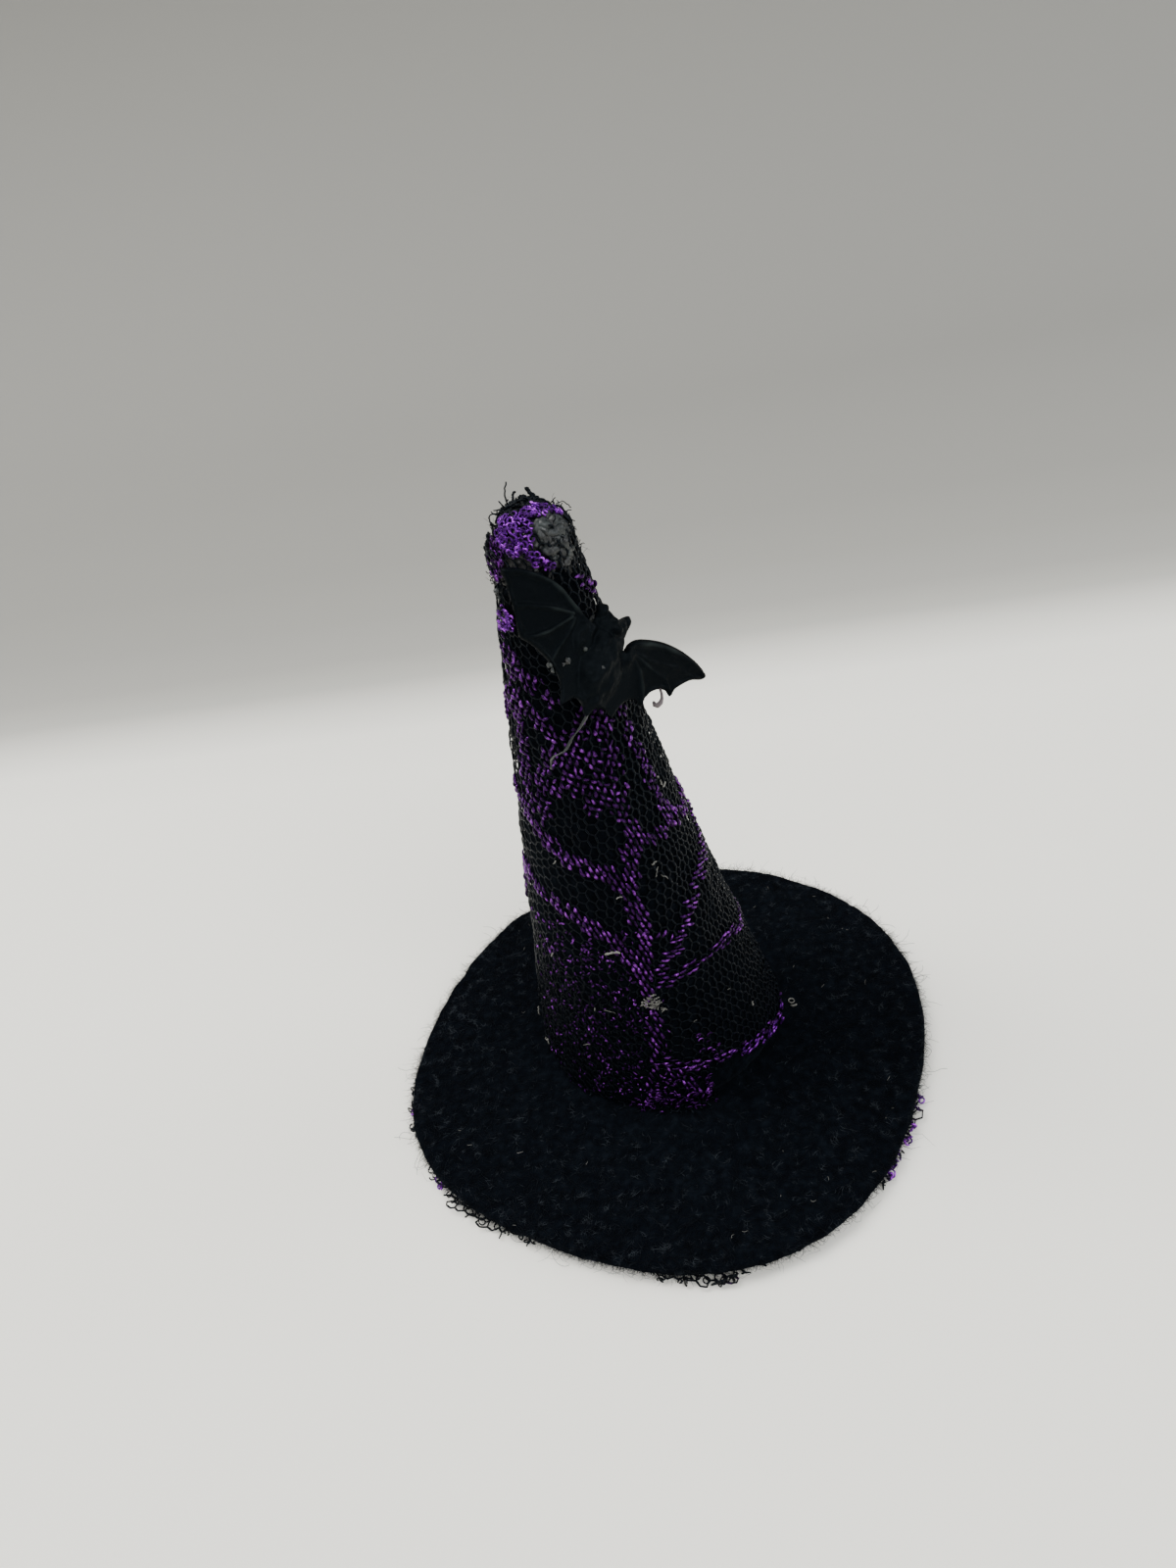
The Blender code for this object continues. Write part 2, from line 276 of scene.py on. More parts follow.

# %% [markdown]
# ## Helpers
# `ripple` is smooth noise: a sum of sine waves in random directions. Bump textures only change the
# shading, but this moves real points, so the shape is also there in the mesh itself.
# `make_piece` turns arrays into an object, in metres, and fastens it to the hat.
# `thread_mesh` spins any number of threads at once: each is a closed tube with pointed ends, so a
# fibre costs few triangles and leaves no open edge. The rest are small sums that come up again and
# again: directions from angles, points along a straight stretch or a chain of them, and the faces
# between the rings of a tube.


# %% Helpers
def ripple(spots, size, seed, waves=12):
    """Smooth noise of about -1 to 1 at each point, with bumps about size mm wide."""
    rng = np.random.default_rng(seed)
    total = np.zeros(len(spots))
    for _ in range(waves):
        way = rng.normal(size=3)
        way /= np.linalg.norm(way)
        pitch = 2 * size * rng.uniform(0.6, 1.7)
        total += np.sin(spots @ way * tau / pitch + rng.uniform(0, tau))
    return total * 1.2 / sqrt(waves)


def make_piece(name, spots, faces, look, slot, node=None):
    """An object from points in mm, with one material, riding on the hat; it may replace a CAD node. slot is
    not used.
    """
    mesh = bpy.data.meshes.new(name)
    mesh.from_pydata((np.asarray(spots) * MM).tolist(), [], faces.tolist())
    mesh.validate()
    mesh.shade_smooth()
    mesh.materials.append(look)
    piece = bpy.data.objects.new(name, mesh)
    bpy.context.scene.collection.objects.link(piece)
    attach(piece, "root")
    if node:
        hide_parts(node)
    print(f"{name}: {len(mesh.vertices)} points, {len(mesh.polygons)} faces")
    return piece


def inside_polygon(corners, spots):
    """Which flat points are inside a polygon."""
    inside = np.zeros(len(spots), bool)
    for (x1, y1), (x2, y2) in zip(corners, np.roll(corners, -1, axis=0)):
        crosses = (y1 > spots[:, 1]) != (y2 > spots[:, 1])
        rise = y2 - y1 if y2 != y1 else 1e-9
        inside ^= crosses & (spots[:, 0] < x1 + (spots[:, 1] - y1) / rise * (x2 - x1))
    return inside


def unit(ways):
    return ways / np.maximum(np.linalg.norm(ways, axis=-1, keepdims=True), 1e-9)


def flat_way(turn):
    """Directions in the level plane at angles in radians."""
    return np.stack([np.cos(turn), np.sin(turn)], axis=-1)


def flat_turn(angle):
    """A matrix that turns flat points about the middle."""
    return np.array([[cos(angle), sin(angle)], [-sin(angle), cos(angle)]])


def all_pairs(some, others):
    """Every pairing of two lists of numbers, as two long arrays."""
    return (grid.ravel() for grid in np.meshgrid(some, others, indexing="ij"))


def points_between(ends, steps):
    """Evenly spaced points from the start to the end of each straight stretch."""
    share = np.linspace(0.0, 1.0, steps)
    return ends[:, :1] + (ends[:, 1:] - ends[:, :1]) * share[None, :, None]


def along_chain(points, steps):
    """Places along a chain of points; step 1.5 is halfway between points 1 and 2, counted from 0."""
    points = np.array(points, float)
    return np.column_stack([np.interp(steps, np.arange(len(points)), column) for column in points.T])


def tube_quads(levels, around):
    """Four-cornered faces between the rings of a tube whose points are counted ring by ring."""
    a = np.arange(levels - 1)[:, None] * around + np.arange(around)
    b = np.arange(levels - 1)[:, None] * around + (np.arange(around) + 1) % around
    return np.stack([a, b, b + around, a + around], axis=-1).reshape(-1, 4)


UPWARD = (0.0, 0.0, 1.0)
MOSTLY_UP = (0.3, 0.2, 0.9)


def thread_mesh(paths, thickness, outward, sides=4, flatness=1.0, tip=1.0):
    """Points and faces of closed threads. paths is (threads, points, 3), thickness is each point's radius.

    outward is the direction that the thread's flat side faces; tip is how far the pointed ends reach,
    in thicknesses.
    """
    paths = np.asarray(paths, float)
    count, steps, _ = paths.shape
    radii = np.broadcast_to(np.asarray(thickness, float), (count, steps))
    along = unit(np.gradient(paths, axis=1))
    face_out = np.broadcast_to(np.asarray(outward, float), paths.shape)
    across = unit(np.cross(along, face_out))
    lift = np.cross(across, along)
    turns = np.arange(sides) * tau / sides + pi / sides
    sideways, outwards = np.cos(turns)[:, None], (np.sin(turns) * flatness)[:, None]
    ring = across[:, :, None] * sideways + lift[:, :, None] * outwards
    body = paths[:, :, None] + ring * radii[:, :, None, None]
    start = paths[:, 0] - along[:, 0] * radii[:, :1] * tip
    end = paths[:, -1] + along[:, -1] * radii[:, -1:] * tip
    spots = np.concatenate([body.reshape(count, -1, 3), start[:, None], end[:, None]], axis=1)
    faces = []
    for step in range(steps - 1):
        for side in range(sides):
            a, b = step * sides + side, step * sides + (side + 1) % sides
            faces += [(a, b, b + sides), (a, b + sides, a + sides)]
    last = (steps - 1) * sides
    for side in range(sides):
        after = (side + 1) % sides
        faces.append((steps * sides, after, side))
        faces.append((steps * sides + 1, last + side, last + after))
    each = steps * sides + 2
    all_faces = np.array(faces)[None] + np.arange(count)[:, None, None] * each
    return spots.reshape(-1, 3), all_faces.reshape(-1, 3)


def joined(*meshes):
    """Several (points, faces) pairs as one pair."""
    spots, faces, start = [], [], 0
    for some_spots, some_faces in meshes:
        spots.append(some_spots)
        faces.append(np.asarray(some_faces) + start)
        start += len(some_spots)
    return np.concatenate(spots), np.concatenate(faces)


# %% [markdown]
# ## Finishes
# Every finish is a Principled shader with its constant values on its own sockets, and only what
# varies over the surface is wired in. Black is never one black: felt is a matte blue-black with
# slightly lighter patches, the net's thread is a neutral black with a silky shine, and the bat is
# greenish moulded plastic with broad soft highlights. The web is lurex, thin metal foil wound on
# yarn, so it is metallic and its brightness jumps from stitch to stitch.


# %% A starting point for every finish
def new_finish(name, rough, **values):
    """A material with a Principled shader, whose constant sockets are set by name."""
    finish = bpy.data.materials.new(name)
    finish.use_nodes = True
    shader = finish.node_tree.nodes["Principled BSDF"]
    shader.inputs["Roughness"].default_value = rough
    for socket, value in values.items():
        shader.inputs[socket.replace("_", " ")].default_value = value
    return finish, finish.node_tree.nodes, finish.node_tree.links, shader


def noise_from(nodes, links, per_metre, detail):
    """The output of noise in object space."""
    spot = nodes.new("ShaderNodeTexCoord")
    noise = nodes.new("ShaderNodeTexNoise")
    noise.inputs["Scale"].default_value = per_metre
    noise.inputs["Detail"].default_value = detail
    links.new(spot.outputs["Object"], noise.inputs["Vector"])
    return noise.outputs[0]


def noise_ramp(nodes, links, per_metre, stops, detail=3.0):
    """Noise through a colour ramp; stops are (position, colour)."""
    ramp = colour_ramp(nodes, stops)
    links.new(noise_from(nodes, links, per_metre, detail), ramp.inputs["Fac"])
    return ramp


def add_bump(nodes, links, shader, per_metre, strength, depth, detail=4.0):
    bump = nodes.new("ShaderNodeBump")
    bump.inputs["Strength"].default_value = strength
    bump.inputs["Distance"].default_value = depth
    links.new(noise_from(nodes, links, per_metre, detail), bump.inputs["Height"])
    links.new(bump.outputs[0], shader.inputs["Normal"])

# %% [markdown]
# Noise through a colour ramp gives each finish its patches. The felt's sheen is faint and bluish, and
# its fibres are painted a little lighter than the mass below them, a painted highlight for the light
# that catches them. Three kinds of purple yarn differ in how bright their foil is: the web's own, the
# duller one under the bat, and the bright one at the tip.


# %% Felt, fibre and thread finishes
def matted_felt():
    finish, nodes, links, shader = new_finish("matted_felt", 0.95, Specular_IOR_Level=0.02)
    shader.inputs["Sheen Weight"].default_value = 0.010
    shader.inputs["Sheen Roughness"].default_value = 0.6
    shader.inputs["Sheen Tint"].default_value = (0.62, 0.82, 1.0, 1.0)
    stops = [(0.32, (0.0005, 0.0008, 0.0015)), (0.55, (0.0013, 0.0020, 0.0034)),
             (0.78, (0.0035, 0.0050, 0.0075))]
    links.new(noise_ramp(nodes, links, 900.0, stops, 6.0).outputs[0], shader.inputs["Base Color"])
    add_bump(nodes, links, shader, 2600.0, 0.9, 0.0002)
    return finish


def felt_fibre():
    finish, nodes, links, shader = new_finish("felt_fibre", 0.60, Specular_IOR_Level=0.05)
    # painted highlight: the lighter stops stand in for the light that the fibres catch
    stops = [(0.35, (0.0006, 0.0010, 0.0018)), (0.54, (0.0034, 0.0046, 0.0068)),
             (0.68, (0.0300, 0.0360, 0.0430))]
    links.new(noise_ramp(nodes, links, 700.0, stops).outputs[0], shader.inputs["Base Color"])
    return finish


def net_thread():
    finish, nodes, links, shader = new_finish("net_thread", 0.38, Specular_IOR_Level=0.11)
    shader.inputs["Specular Tint"].default_value = (0.68, 0.84, 1.0, 1.0)
    stops = [(0.35, (0.0003, 0.0005, 0.0010)), (0.7, (0.0014, 0.0020, 0.0036))]
    links.new(noise_ramp(nodes, links, 1400.0, stops).outputs[0], shader.inputs["Base Color"])
    add_bump(nodes, links, shader, 9000.0, 0.5, 0.00006)
    return finish


def purple_lurex(name, dim, fair, bright):
    finish, nodes, links, shader = new_finish(name, 0.30, Metallic=0.9)
    stops = [(0.30, dim), (0.52, fair), (0.72, bright)]
    links.new(noise_ramp(nodes, links, 1300.0, stops, 1.0).outputs[0], shader.inputs["Base Color"])
    add_bump(nodes, links, shader, 5200.0, 0.8, 0.00012, 2.0)
    return finish


felt_look = matted_felt()
fibre_look = felt_fibre()
thread_look = net_thread()
web_look = purple_lurex("purple_lurex", (0.009, 0.0006, 0.017), (0.039, 0.0032, 0.070), (0.27, 0.043, 0.43))
dull_web_look = purple_lurex("dull_lurex", (0.008, 0.0006, 0.015), (0.030, 0.0026, 0.054),
                             (0.18, 0.030, 0.29))
tip_web_look = purple_lurex("bright_lurex", (0.016, 0.001, 0.032), (0.070, 0.005, 0.155), (0.50, 0.065, 0.85))

# %% [markdown]
# The bat's plastic is painted paler where the moulding stands up a little, so its colour follows the distance
# from the wings' plane: partly wear on the raised ribs and rims, partly a painted highlight where they
# catch the light. A second ramp, along the wings, keeps the body dark. The glue comes in a clear
# look, in looks that the felt has stained, and as brownish flash.


# %% Plastic, glue and lint finishes
def moulded_plastic(axes, middle):
    """Greenish black plastic, painted paler along the raised ribs and rims of the wings: wear and a painted
    highlight.
    """
    finish, nodes, links, shader = new_finish("moulded_plastic", 0.36, Specular_IOR_Level=0.05)
    shader.inputs["Specular Tint"].default_value = (0.70, 0.88, 1.0, 1.0)
    spot = nodes.new("ShaderNodeTexCoord")
    shares = []
    raised = (axes[2], middle[2], middle[2] + 1.0)
    sideways = (axes[0], middle[0] - 8.0, middle[0] + 8.0)
    for axis, low, high in (raised, sideways):
        dot = nodes.new("ShaderNodeVectorMath")
        dot.operation = "DOT_PRODUCT"
        dot.inputs[1].default_value = axis
        share = nodes.new("ShaderNodeMapRange")
        share.inputs["From Min"].default_value = low * MM
        share.inputs["From Max"].default_value = high * MM
        links.new(spot.outputs["Object"], dot.inputs[0])
        links.new(dot.outputs["Value"], share.inputs["Value"])
        shares.append(share)
    body_colour = (0.0012, 0.0018, 0.0024, 1.0)
    # wear and a painted highlight: the raised ribs and rims are painted paler than the membrane
    rim_wear_and_highlight_stops = [
        (0.0, (0.0004, 0.0008, 0.0012)),
        (0.12, (0.0008, 0.0014, 0.0020)),
        (0.40, (0.0115, 0.0150, 0.0145)),
        (0.65, (0.0020, 0.0030, 0.0034)),
    ]
    place_stops = [(0.15, (1.0,) * 3), (0.22, (0.0,) * 3), (0.76, (0.0,) * 3), (0.84, (1.0,) * 3)]
    ramps = [colour_ramp(nodes, stops) for stops in (rim_wear_and_highlight_stops, place_stops)]
    for share, ramp in zip(shares, ramps):
        links.new(share.outputs[0], ramp.inputs["Fac"])
    mix = nodes.new("ShaderNodeMixRGB")
    mix.inputs["Color1"].default_value = body_colour
    links.new(ramps[1].outputs["Color"], mix.inputs["Fac"])
    links.new(ramps[0].outputs["Color"], mix.inputs["Color2"])
    links.new(mix.outputs["Color"], shader.inputs["Base Color"])
    rough = noise_ramp(nodes, links, 1500.0, [(0.3, (0.44,) * 3), (0.75, (0.68,) * 3)])
    links.new(rough.outputs[0], shader.inputs["Roughness"])
    add_bump(nodes, links, shader, 1500.0, 0.4, 0.00014)
    return finish


def hot_glue(name, stops, rough, see_through):
    finish, nodes, links, shader = new_finish(name, rough, Transmission_Weight=see_through, IOR=1.48)
    links.new(noise_ramp(nodes, links, 800.0, stops).outputs[0], shader.inputs["Base Color"])
    add_bump(nodes, links, shader, 1200.0, 0.4, 0.0001)
    return finish


def pale_lint():
    finish, nodes, links, shader = new_finish("pale_lint", 0.7)
    stops = [(0.35, (0.055, 0.055, 0.048)), (0.7, (0.21, 0.205, 0.185))]
    links.new(noise_ramp(nodes, links, 900.0, stops).outputs[0], shader.inputs["Base Color"])
    return finish


clear_glue_look = hot_glue("hot_glue", [(0.3, (0.42, 0.41, 0.36)), (0.7, (0.62, 0.60, 0.53))], 0.28, 0.35)
GREY_STOPS = [(0.38, (0.0010, 0.0018, 0.0022)), (0.52, (0.0034, 0.0054, 0.0060)),
              (0.70, (0.016, 0.022, 0.022))]
DARK_STOPS = [(0.35, (0.0003, 0.0006, 0.0009)), (0.70, (0.0022, 0.0030, 0.0038))]
grey_glue_look = hot_glue("grey_glue", GREY_STOPS, 0.5, 0.0)
dark_glue_look = hot_glue("dark_glue", DARK_STOPS, 0.45, 0.0)
dull_glue_look = hot_glue("dull_glue", [(0.35, (0.003, 0.0045, 0.0045)), (0.70, (0.016, 0.021, 0.020))],
                          0.45, 0.05)
flash_look = hot_glue("brown_flash", [(0.3, (0.030, 0.022, 0.024)), (0.7, (0.10, 0.080, 0.085))], 0.5, 0.0)
lint_look = pale_lint()

# %% [markdown]
# ## The felt brim
# The brim was cut from craft felt with scissors, so its edge is soft and its thickness varies. One
# closed grid makes it: for every direction a loop of points runs out over the top, round the edge,
# and back underneath. The loop's points are pushed about by three sizes of noise: slow waves, which
# also lift the right side off the table, lumps a few millimetres wide, and the fine matted relief.


# %% Shape of the brim
BRIM_LIFTS = [  # (angle in degrees, how far the edge is lifted in mm)
    (-180, -0.30), (-135, 0.10), (-90, 0.05), (-50, -0.15), (-20, 0.25), (5, 0.45), (35, 0.05), (70, -0.35),
    (120, -0.45), (155, -0.45), (180, -0.30),
]

SOFT_EDGE = 0.7  # mm that the cut edge is rounded over
BRIM_WIDTH = 24.0  # mm from the opening to the edge


def brim_wave(x, y):
    """How far the felt is lifted at a place, in mm; the right side stands a little off the table."""
    reach = np.clip((np.hypot(x, y) - 16.0) / 22.0, 0.0, 1.0)
    turn = np.arctan2(y, x)
    lifted = np.interp(np.degrees(turn), *np.array(BRIM_LIFTS, float).T)
    return (lifted + 0.10 * np.sin(5 * turn + 2.0)) * reach**2


def brim_surface(x, y):
    spots = np.stack([x, y, np.zeros_like(x)], axis=-1).reshape(-1, 3)
    lumps = 0.10 * ripple(spots, 3.5, 11) + 0.05 * ripple(spots, 1.3, 12)
    return BRIM_TOP - 0.12 + brim_wave(x, y) + lumps.reshape(x.shape)


def brim_loops(turns=500):
    """Points of the brim, one closed loop for each direction."""
    across = np.linspace(0.0, 1.0, 64)
    round_edge = np.linspace(pi / 2, -pi / 2, 9)[1:-1]
    turn = np.linspace(0.0, tau, turns, endpoint=False)[:, None]
    flat = flat_way(turn)
    outline = felt_reach(turn)[..., None] * flat
    wobble = ripple(np.dstack([outline, 0 * turn]).reshape(-1, 3), 2.6, 13)
    outline *= 1.0 + 0.0014 * wobble[:, None, None]
    hole = OPENING_MIDDLE + OPENING_RADIUS * flat
    fade = SOFT_EDGE / BRIM_WIDTH
    back = across[::-3]
    rows = np.concatenate([across * (1 - fade), 1 - fade + fade * np.cos(round_edge), back * (1 - fade)])
    height = np.concatenate([np.full(len(across), 1.0), np.sin(round_edge), np.full(len(back), -1.0)])
    flat_spots = hole + (outline - hole) * rows[:, None]
    x, y = flat_spots[..., 0], flat_spots[..., 1]
    top = brim_surface(x, y)
    half = (BRIM_TOP - BRIM_BOTTOM) / 2 - 0.1
    return np.stack([x, y, top - half + half * height], axis=-1)


loops = brim_loops()
directions, around = loops.shape[:2]
felt_spots = loops.reshape(-1, 3)
matted = 0.035 * ripple(felt_spots, 0.7, 14) + 0.03 * ripple(felt_spots, 0.45, 15)
felt_spots[:, 2] += matted
a = np.arange(directions)[:, None] * around + np.arange(around)
b = np.roll(a, -1, axis=0)
quads = np.stack([a, np.roll(a, -1, axis=1), np.roll(b, -1, axis=1), b], axis=-1).reshape(-1, 4)
brim = make_piece("felt_brim", felt_spots, quads, felt_look, "black_felt", "brim_felt")

# %% [markdown]
# ## Loose fibres on the felt
# What makes felt look like felt is the matted fibre on top of it. A particle system would do it, but
# particles aren't in the exported mesh, so short threads are scattered by hand: each starts at a
# random place, wanders a little, and sits on the surface. Around the cut edge more of them stick out
# against the pale table.


# %% Scatter the fibres
def fibre_paths(starts, ways, lengths, heights, rng, bend=0.45):
    """Four points for each fibre, curving a little to one side; heights(x, y) keeps it on the felt."""
    steps = np.array([0.0, 0.34, 0.67, 1.0])
    side = np.stack([-ways[:, 1], ways[:, 0]], axis=-1)
    curl = rng.normal(0.0, bend, len(starts))[:, None, None] * (steps * (1 - steps) * 2.0)[None, :, None]
    bent = ways[:, None] * steps[None, :, None] + side[:, None] * curl
    flat = starts[:, None] + bent * lengths[:, None, None]
    lift = heights(flat[..., 0], flat[..., 1])
    return np.dstack([flat, lift])


def top_fibres(count, seed):
    rng = np.random.default_rng(seed)
    turn = rng.uniform(0, tau, count)
    share = np.sqrt(rng.uniform(0.0, 1.0, count))
    reach = 17.0 + (felt_reach(turn) - 17.2) * share
    middle = OPENING_MIDDLE * (1 - share)[:, None]
    starts = flat_way(turn) * reach[:, None] + middle
    ways = flat_way(turn + rng.normal(0.0, 1.3, count))
    lengths = rng.gamma(4.0, 0.32, count)
    paths = fibre_paths(starts, ways, lengths, brim_surface, rng)
    paths[..., 2] += 0.04 + rng.uniform(-0.04, 0.10, (count, 1)) + rng.uniform(0.0, 0.08, (count, 4))
    thickness = rng.uniform(0.014, 0.030, (count, 1)) * np.array([0.7, 1.0, 1.0, 0.5])
    return thread_mesh(paths, thickness, UPWARD, sides=3, tip=3.0)


def edge_fibres(count, seed):
    rng = np.random.default_rng(seed)
    turn = rng.uniform(0, tau, count)
    starts = flat_way(turn) * (felt_reach(turn) - 0.35)[:, None]
    ways = flat_way(turn + rng.normal(0.0, 0.85, count))
    lengths = 0.35 + rng.gamma(1.6, 0.24, count)
    paths = fibre_paths(starts, ways, lengths, brim_surface, rng, 0.9)
    paths[..., 2] += rng.uniform(-1.3, -0.1, (count, 1)) + rng.normal(0.0, 0.12, (count, 4))
    paths[..., 2] = np.maximum(paths[..., 2], 0.04)
    thickness = rng.uniform(0.012, 0.024, (count, 1)) * np.array([1.0, 1.0, 0.8, 0.5])
    return thread_mesh(paths, thickness, UPWARD, sides=3, tip=3.0)


def stray_fibres(seed):
    """A few long curly fibres that hang off the edge on to the table, or lie on the felt."""
    rng = np.random.default_rng(seed)
    zones = ((168, 200, 9), (-20, 45, 12), (0, 360, 20))  # (from, to, how many)
    turn = np.radians(np.concatenate([rng.uniform(*zone) for zone in zones]))
    count = len(turn)
    reach = felt_reach(turn) - np.where(np.arange(count) > 28, rng.uniform(3.0, 17.0, count), 0.3)
    starts = np.stack([reach * np.cos(turn), reach * np.sin(turn), np.full(count, 0.9)], axis=-1)
    outwards = np.stack([np.cos(turn), np.sin(turn), 0 * turn], axis=-1)
    way, paths = unit(outwards + rng.normal(0, 0.6, (count, 3)) * (1, 1, 0.2)), [starts]
    spin = rng.normal(0.0, 0.35, count)
    for _ in range(13):
        spin = 0.8 * spin + rng.normal(0.0, 0.12, count)
        side = np.stack([-way[:, 1], way[:, 0], np.full(count, -0.12)], axis=-1)
        way = unit(way + spin[:, None] * side)
        paths.append(paths[-1] + way * rng.uniform(0.14, 0.42))
    paths = np.stack(paths, axis=1)
    x, y = paths[..., 0], paths[..., 1]
    on_felt = np.hypot(x, y) < felt_reach(np.arctan2(y, x)) - 0.3
    floor = np.where(on_felt, brim_surface(x, y) + 0.12, 0.05)
    paths[..., 2] = np.where(on_felt, floor, np.maximum(paths[..., 2], floor))
    return thread_mesh(paths, 0.024, UPWARD, sides=4)


FIBRES = 13000
EDGE_FIBRES = 7400
brim_fuzz = [
    make_piece(f"brim_fibres_{part}", *top_fibres(FIBRES // 2, 21 + 3 * part), fibre_look, "black_felt")
    for part in (1, 2)
]
edge_fuzz = make_piece(
    "brim_edge_fibres", *joined(edge_fibres(EDGE_FIBRES, 22), stray_fibres(23)), fibre_look, "black_felt"
)

# %% [markdown]
# ## The cone as a surface to work on
# The felt cone, the net and the bat's glue all need places on the cone. `on_cone` gives the point at
# an angle round it and a distance up along its side, with a gap outwards. The distance runs on over
# the rounded top to the pole, so the net can be gathered there. Below the foot the distance is
# negative, and the surface turns outwards on to the brim. The left side of the tip is pressed in.


# %% Places on the cone
def side_profile():
    """Distance along the side, height, radius and outward tilt, from the foot to the pole."""
    spring = CONE_TOP - DOME_HEIGHT
    heights = np.linspace(CONE_FOOT, spring, 120)
    radii = np.interp(heights, wall_rings[:, 0], wall_rings[:, 3])
    turn = np.linspace(0.0, pi / 2, 40)[1:]
    heights = np.concatenate([heights, spring + DOME_HEIGHT * np.sin(turn)])
    radii = np.concatenate([radii, radii[-1] * np.cos(turn) ** 0.5])
    radii[-1] = 0.0
    steps = np.hypot(np.diff(heights), np.diff(radii))
    along = np.concatenate([[0.0], np.cumsum(steps)])
    rise, run = np.gradient(heights, along), np.gradient(radii, along)
    return along, heights, radii, rise, -run


ALONG, HEIGHTS, RADII, OUT_FLAT, OUT_UP = side_profile()
SIDE_LENGTH = ALONG[-1]
TIP_DENT, TIP_DENT_TURN, TIP_DENT_HEIGHT = 1.1, pi, 85.0  # mm deep, at the left, mm up


def cone_middle(height):
    x = np.interp(height, skin_rings[:, 0], skin_rings[:, 1])
    y = np.interp(height, skin_rings[:, 0], skin_rings[:, 2])
    return x, y


def tip_dent(turn, height):
    """How far the left side of the tip is pressed in, in mm."""
    away = np.arctan2(np.sin(turn - TIP_DENT_TURN), np.cos(turn - TIP_DENT_TURN))
    return TIP_DENT * np.exp(-((away / 0.7) ** 2) - ((height - TIP_DENT_HEIGHT) / 1.6) ** 2)


def on_cone(turn, along, gap=0.0):
    """Points at an angle in radians and a distance up the side in mm, gap mm outside the cone's skin."""
    turn, along, gap = np.broadcast_arrays(*map(np.asarray, (turn, along, gap)))
    below = np.minimum(along, 0.0)
    height = np.interp(along, ALONG, HEIGHTS)
    out_flat, out_up = np.interp(along, ALONG, OUT_FLAT), np.interp(along, ALONG, OUT_UP)
    reach = np.interp(along, ALONG, RADII) - below + gap * out_flat
    reach = reach - np.minimum(tip_dent(turn, height), 0.35 * np.abs(reach))
    x, y = cone_middle(height)
    z = height + gap * out_up
    z = np.where(below < 0.0, np.maximum(BRIM_TOP + 0.12 + 0.1 * gap, z + 1.2 * below), z)
    return np.stack([x + reach * np.cos(turn), y + reach * np.sin(turn), z], axis=-1)


def cone_outward(turn, along):
    flat, rise = np.interp(along, ALONG, OUT_FLAT), np.interp(along, ALONG, OUT_UP)
    return unit(np.stack([flat * np.cos(turn), flat * np.sin(turn), rise], axis=-1))


def along_at(height):
    return np.interp(height, HEIGHTS, ALONG)


print(f"the side is {SIDE_LENGTH:.1f} mm from foot to pole")

# %% [markdown]
# ## The felt cone
# The cone is a sheet of felt rolled up, with its inner end tucked under the outer one at the back.
# Each level section is a long thin loop: once round outside, and back round inside.


# %% Roll the felt
FELT_SEAM, FELT_LAP = radians(84.0), radians(15.0)
FELT_THICKNESS = 1.4
NET_ROOM = 0.65  # mm from the CAD skin, which is the outside of the net, to the felt
TUCK = 1.65  # mm that the inner end is sunk under the outer one


def felt_roll(levels=130, turns=260):
    blend = radians(10.0)
    heights = np.linspace(CONE_FOOT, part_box("crown_felt")[1].z / MM, levels)[:, None]
    round_way = np.linspace(0.0, tau + FELT_LAP, turns)[None]
    sunk = TUCK * np.clip((round_way - tau + blend) / blend, 0.0, 1.0)
    outer = np.interp(heights, wall_rings[:, 0], wall_rings[:, 3]) - NET_ROOM - sunk
    outer = outer - tip_dent(FELT_SEAM + round_way, heights)
    x, y = cone_middle(heights)
    sides = []
    for reach in (outer, outer - FELT_THICKNESS):
        sides.append(np.dstack([
            x + reach * np.cos(FELT_SEAM + round_way),
            y + reach * np.sin(FELT_SEAM + round_way),
            heights + 0 * reach,
        ]))
    sides[1] = sides[1][:, ::-1]
    return np.concatenate(sides, axis=1)


sections = felt_roll()
levels, around = sections.shape[:2]
cone_spots = sections.reshape(-1, 3)
x, y = cone_middle(cone_spots[:, 2])
away = unit(np.stack([cone_spots[:, 0] - x, cone_spots[:, 1] - y], axis=-1))
relief = 0.06 * ripple(cone_spots, 2.2, 31) + 0.04 * ripple(cone_spots, 0.7, 32)
cone_spots[:, :2] += away * relief[:, None]
side_faces = tube_quads(levels, around)
rim = np.arange(around // 2 - 1)
ends = []
for start, flip in ((0, 1), ((levels - 1) * around, -1)):
    cap = np.stack([rim, around - 1 - rim, around - 2 - rim, rim + 1], axis=-1) + start
    ends.append(cap[:, ::flip])
cone = make_piece(
    "felt_cone", cone_spots, np.concatenate([side_faces, *ends]), felt_look, "black_felt", "crown_felt"
)

# %% [markdown]
# ## The net's mesh
# Net is a honeycomb: upright stitches joined by slanting threads. It is drawn flat first, as a
# honeycomb in a plane, and then wrapped round the cone. A cone's side is a slice of a circle when it
# is unrolled, so a flat point's distance from the slice's centre gives its place up the side and its
# direction gives the angle round the cone. This is why the stitches stand straight up at the right
# and slant more and more towards the left, like the cloth on a real cone.


# %% Honeycomb in the flat
CELL_WIDTH = 1.42
CELL_UPRIGHT = 0.86
CELL_SLANT = 0.50
ROW = CELL_UPRIGHT + CELL_SLANT


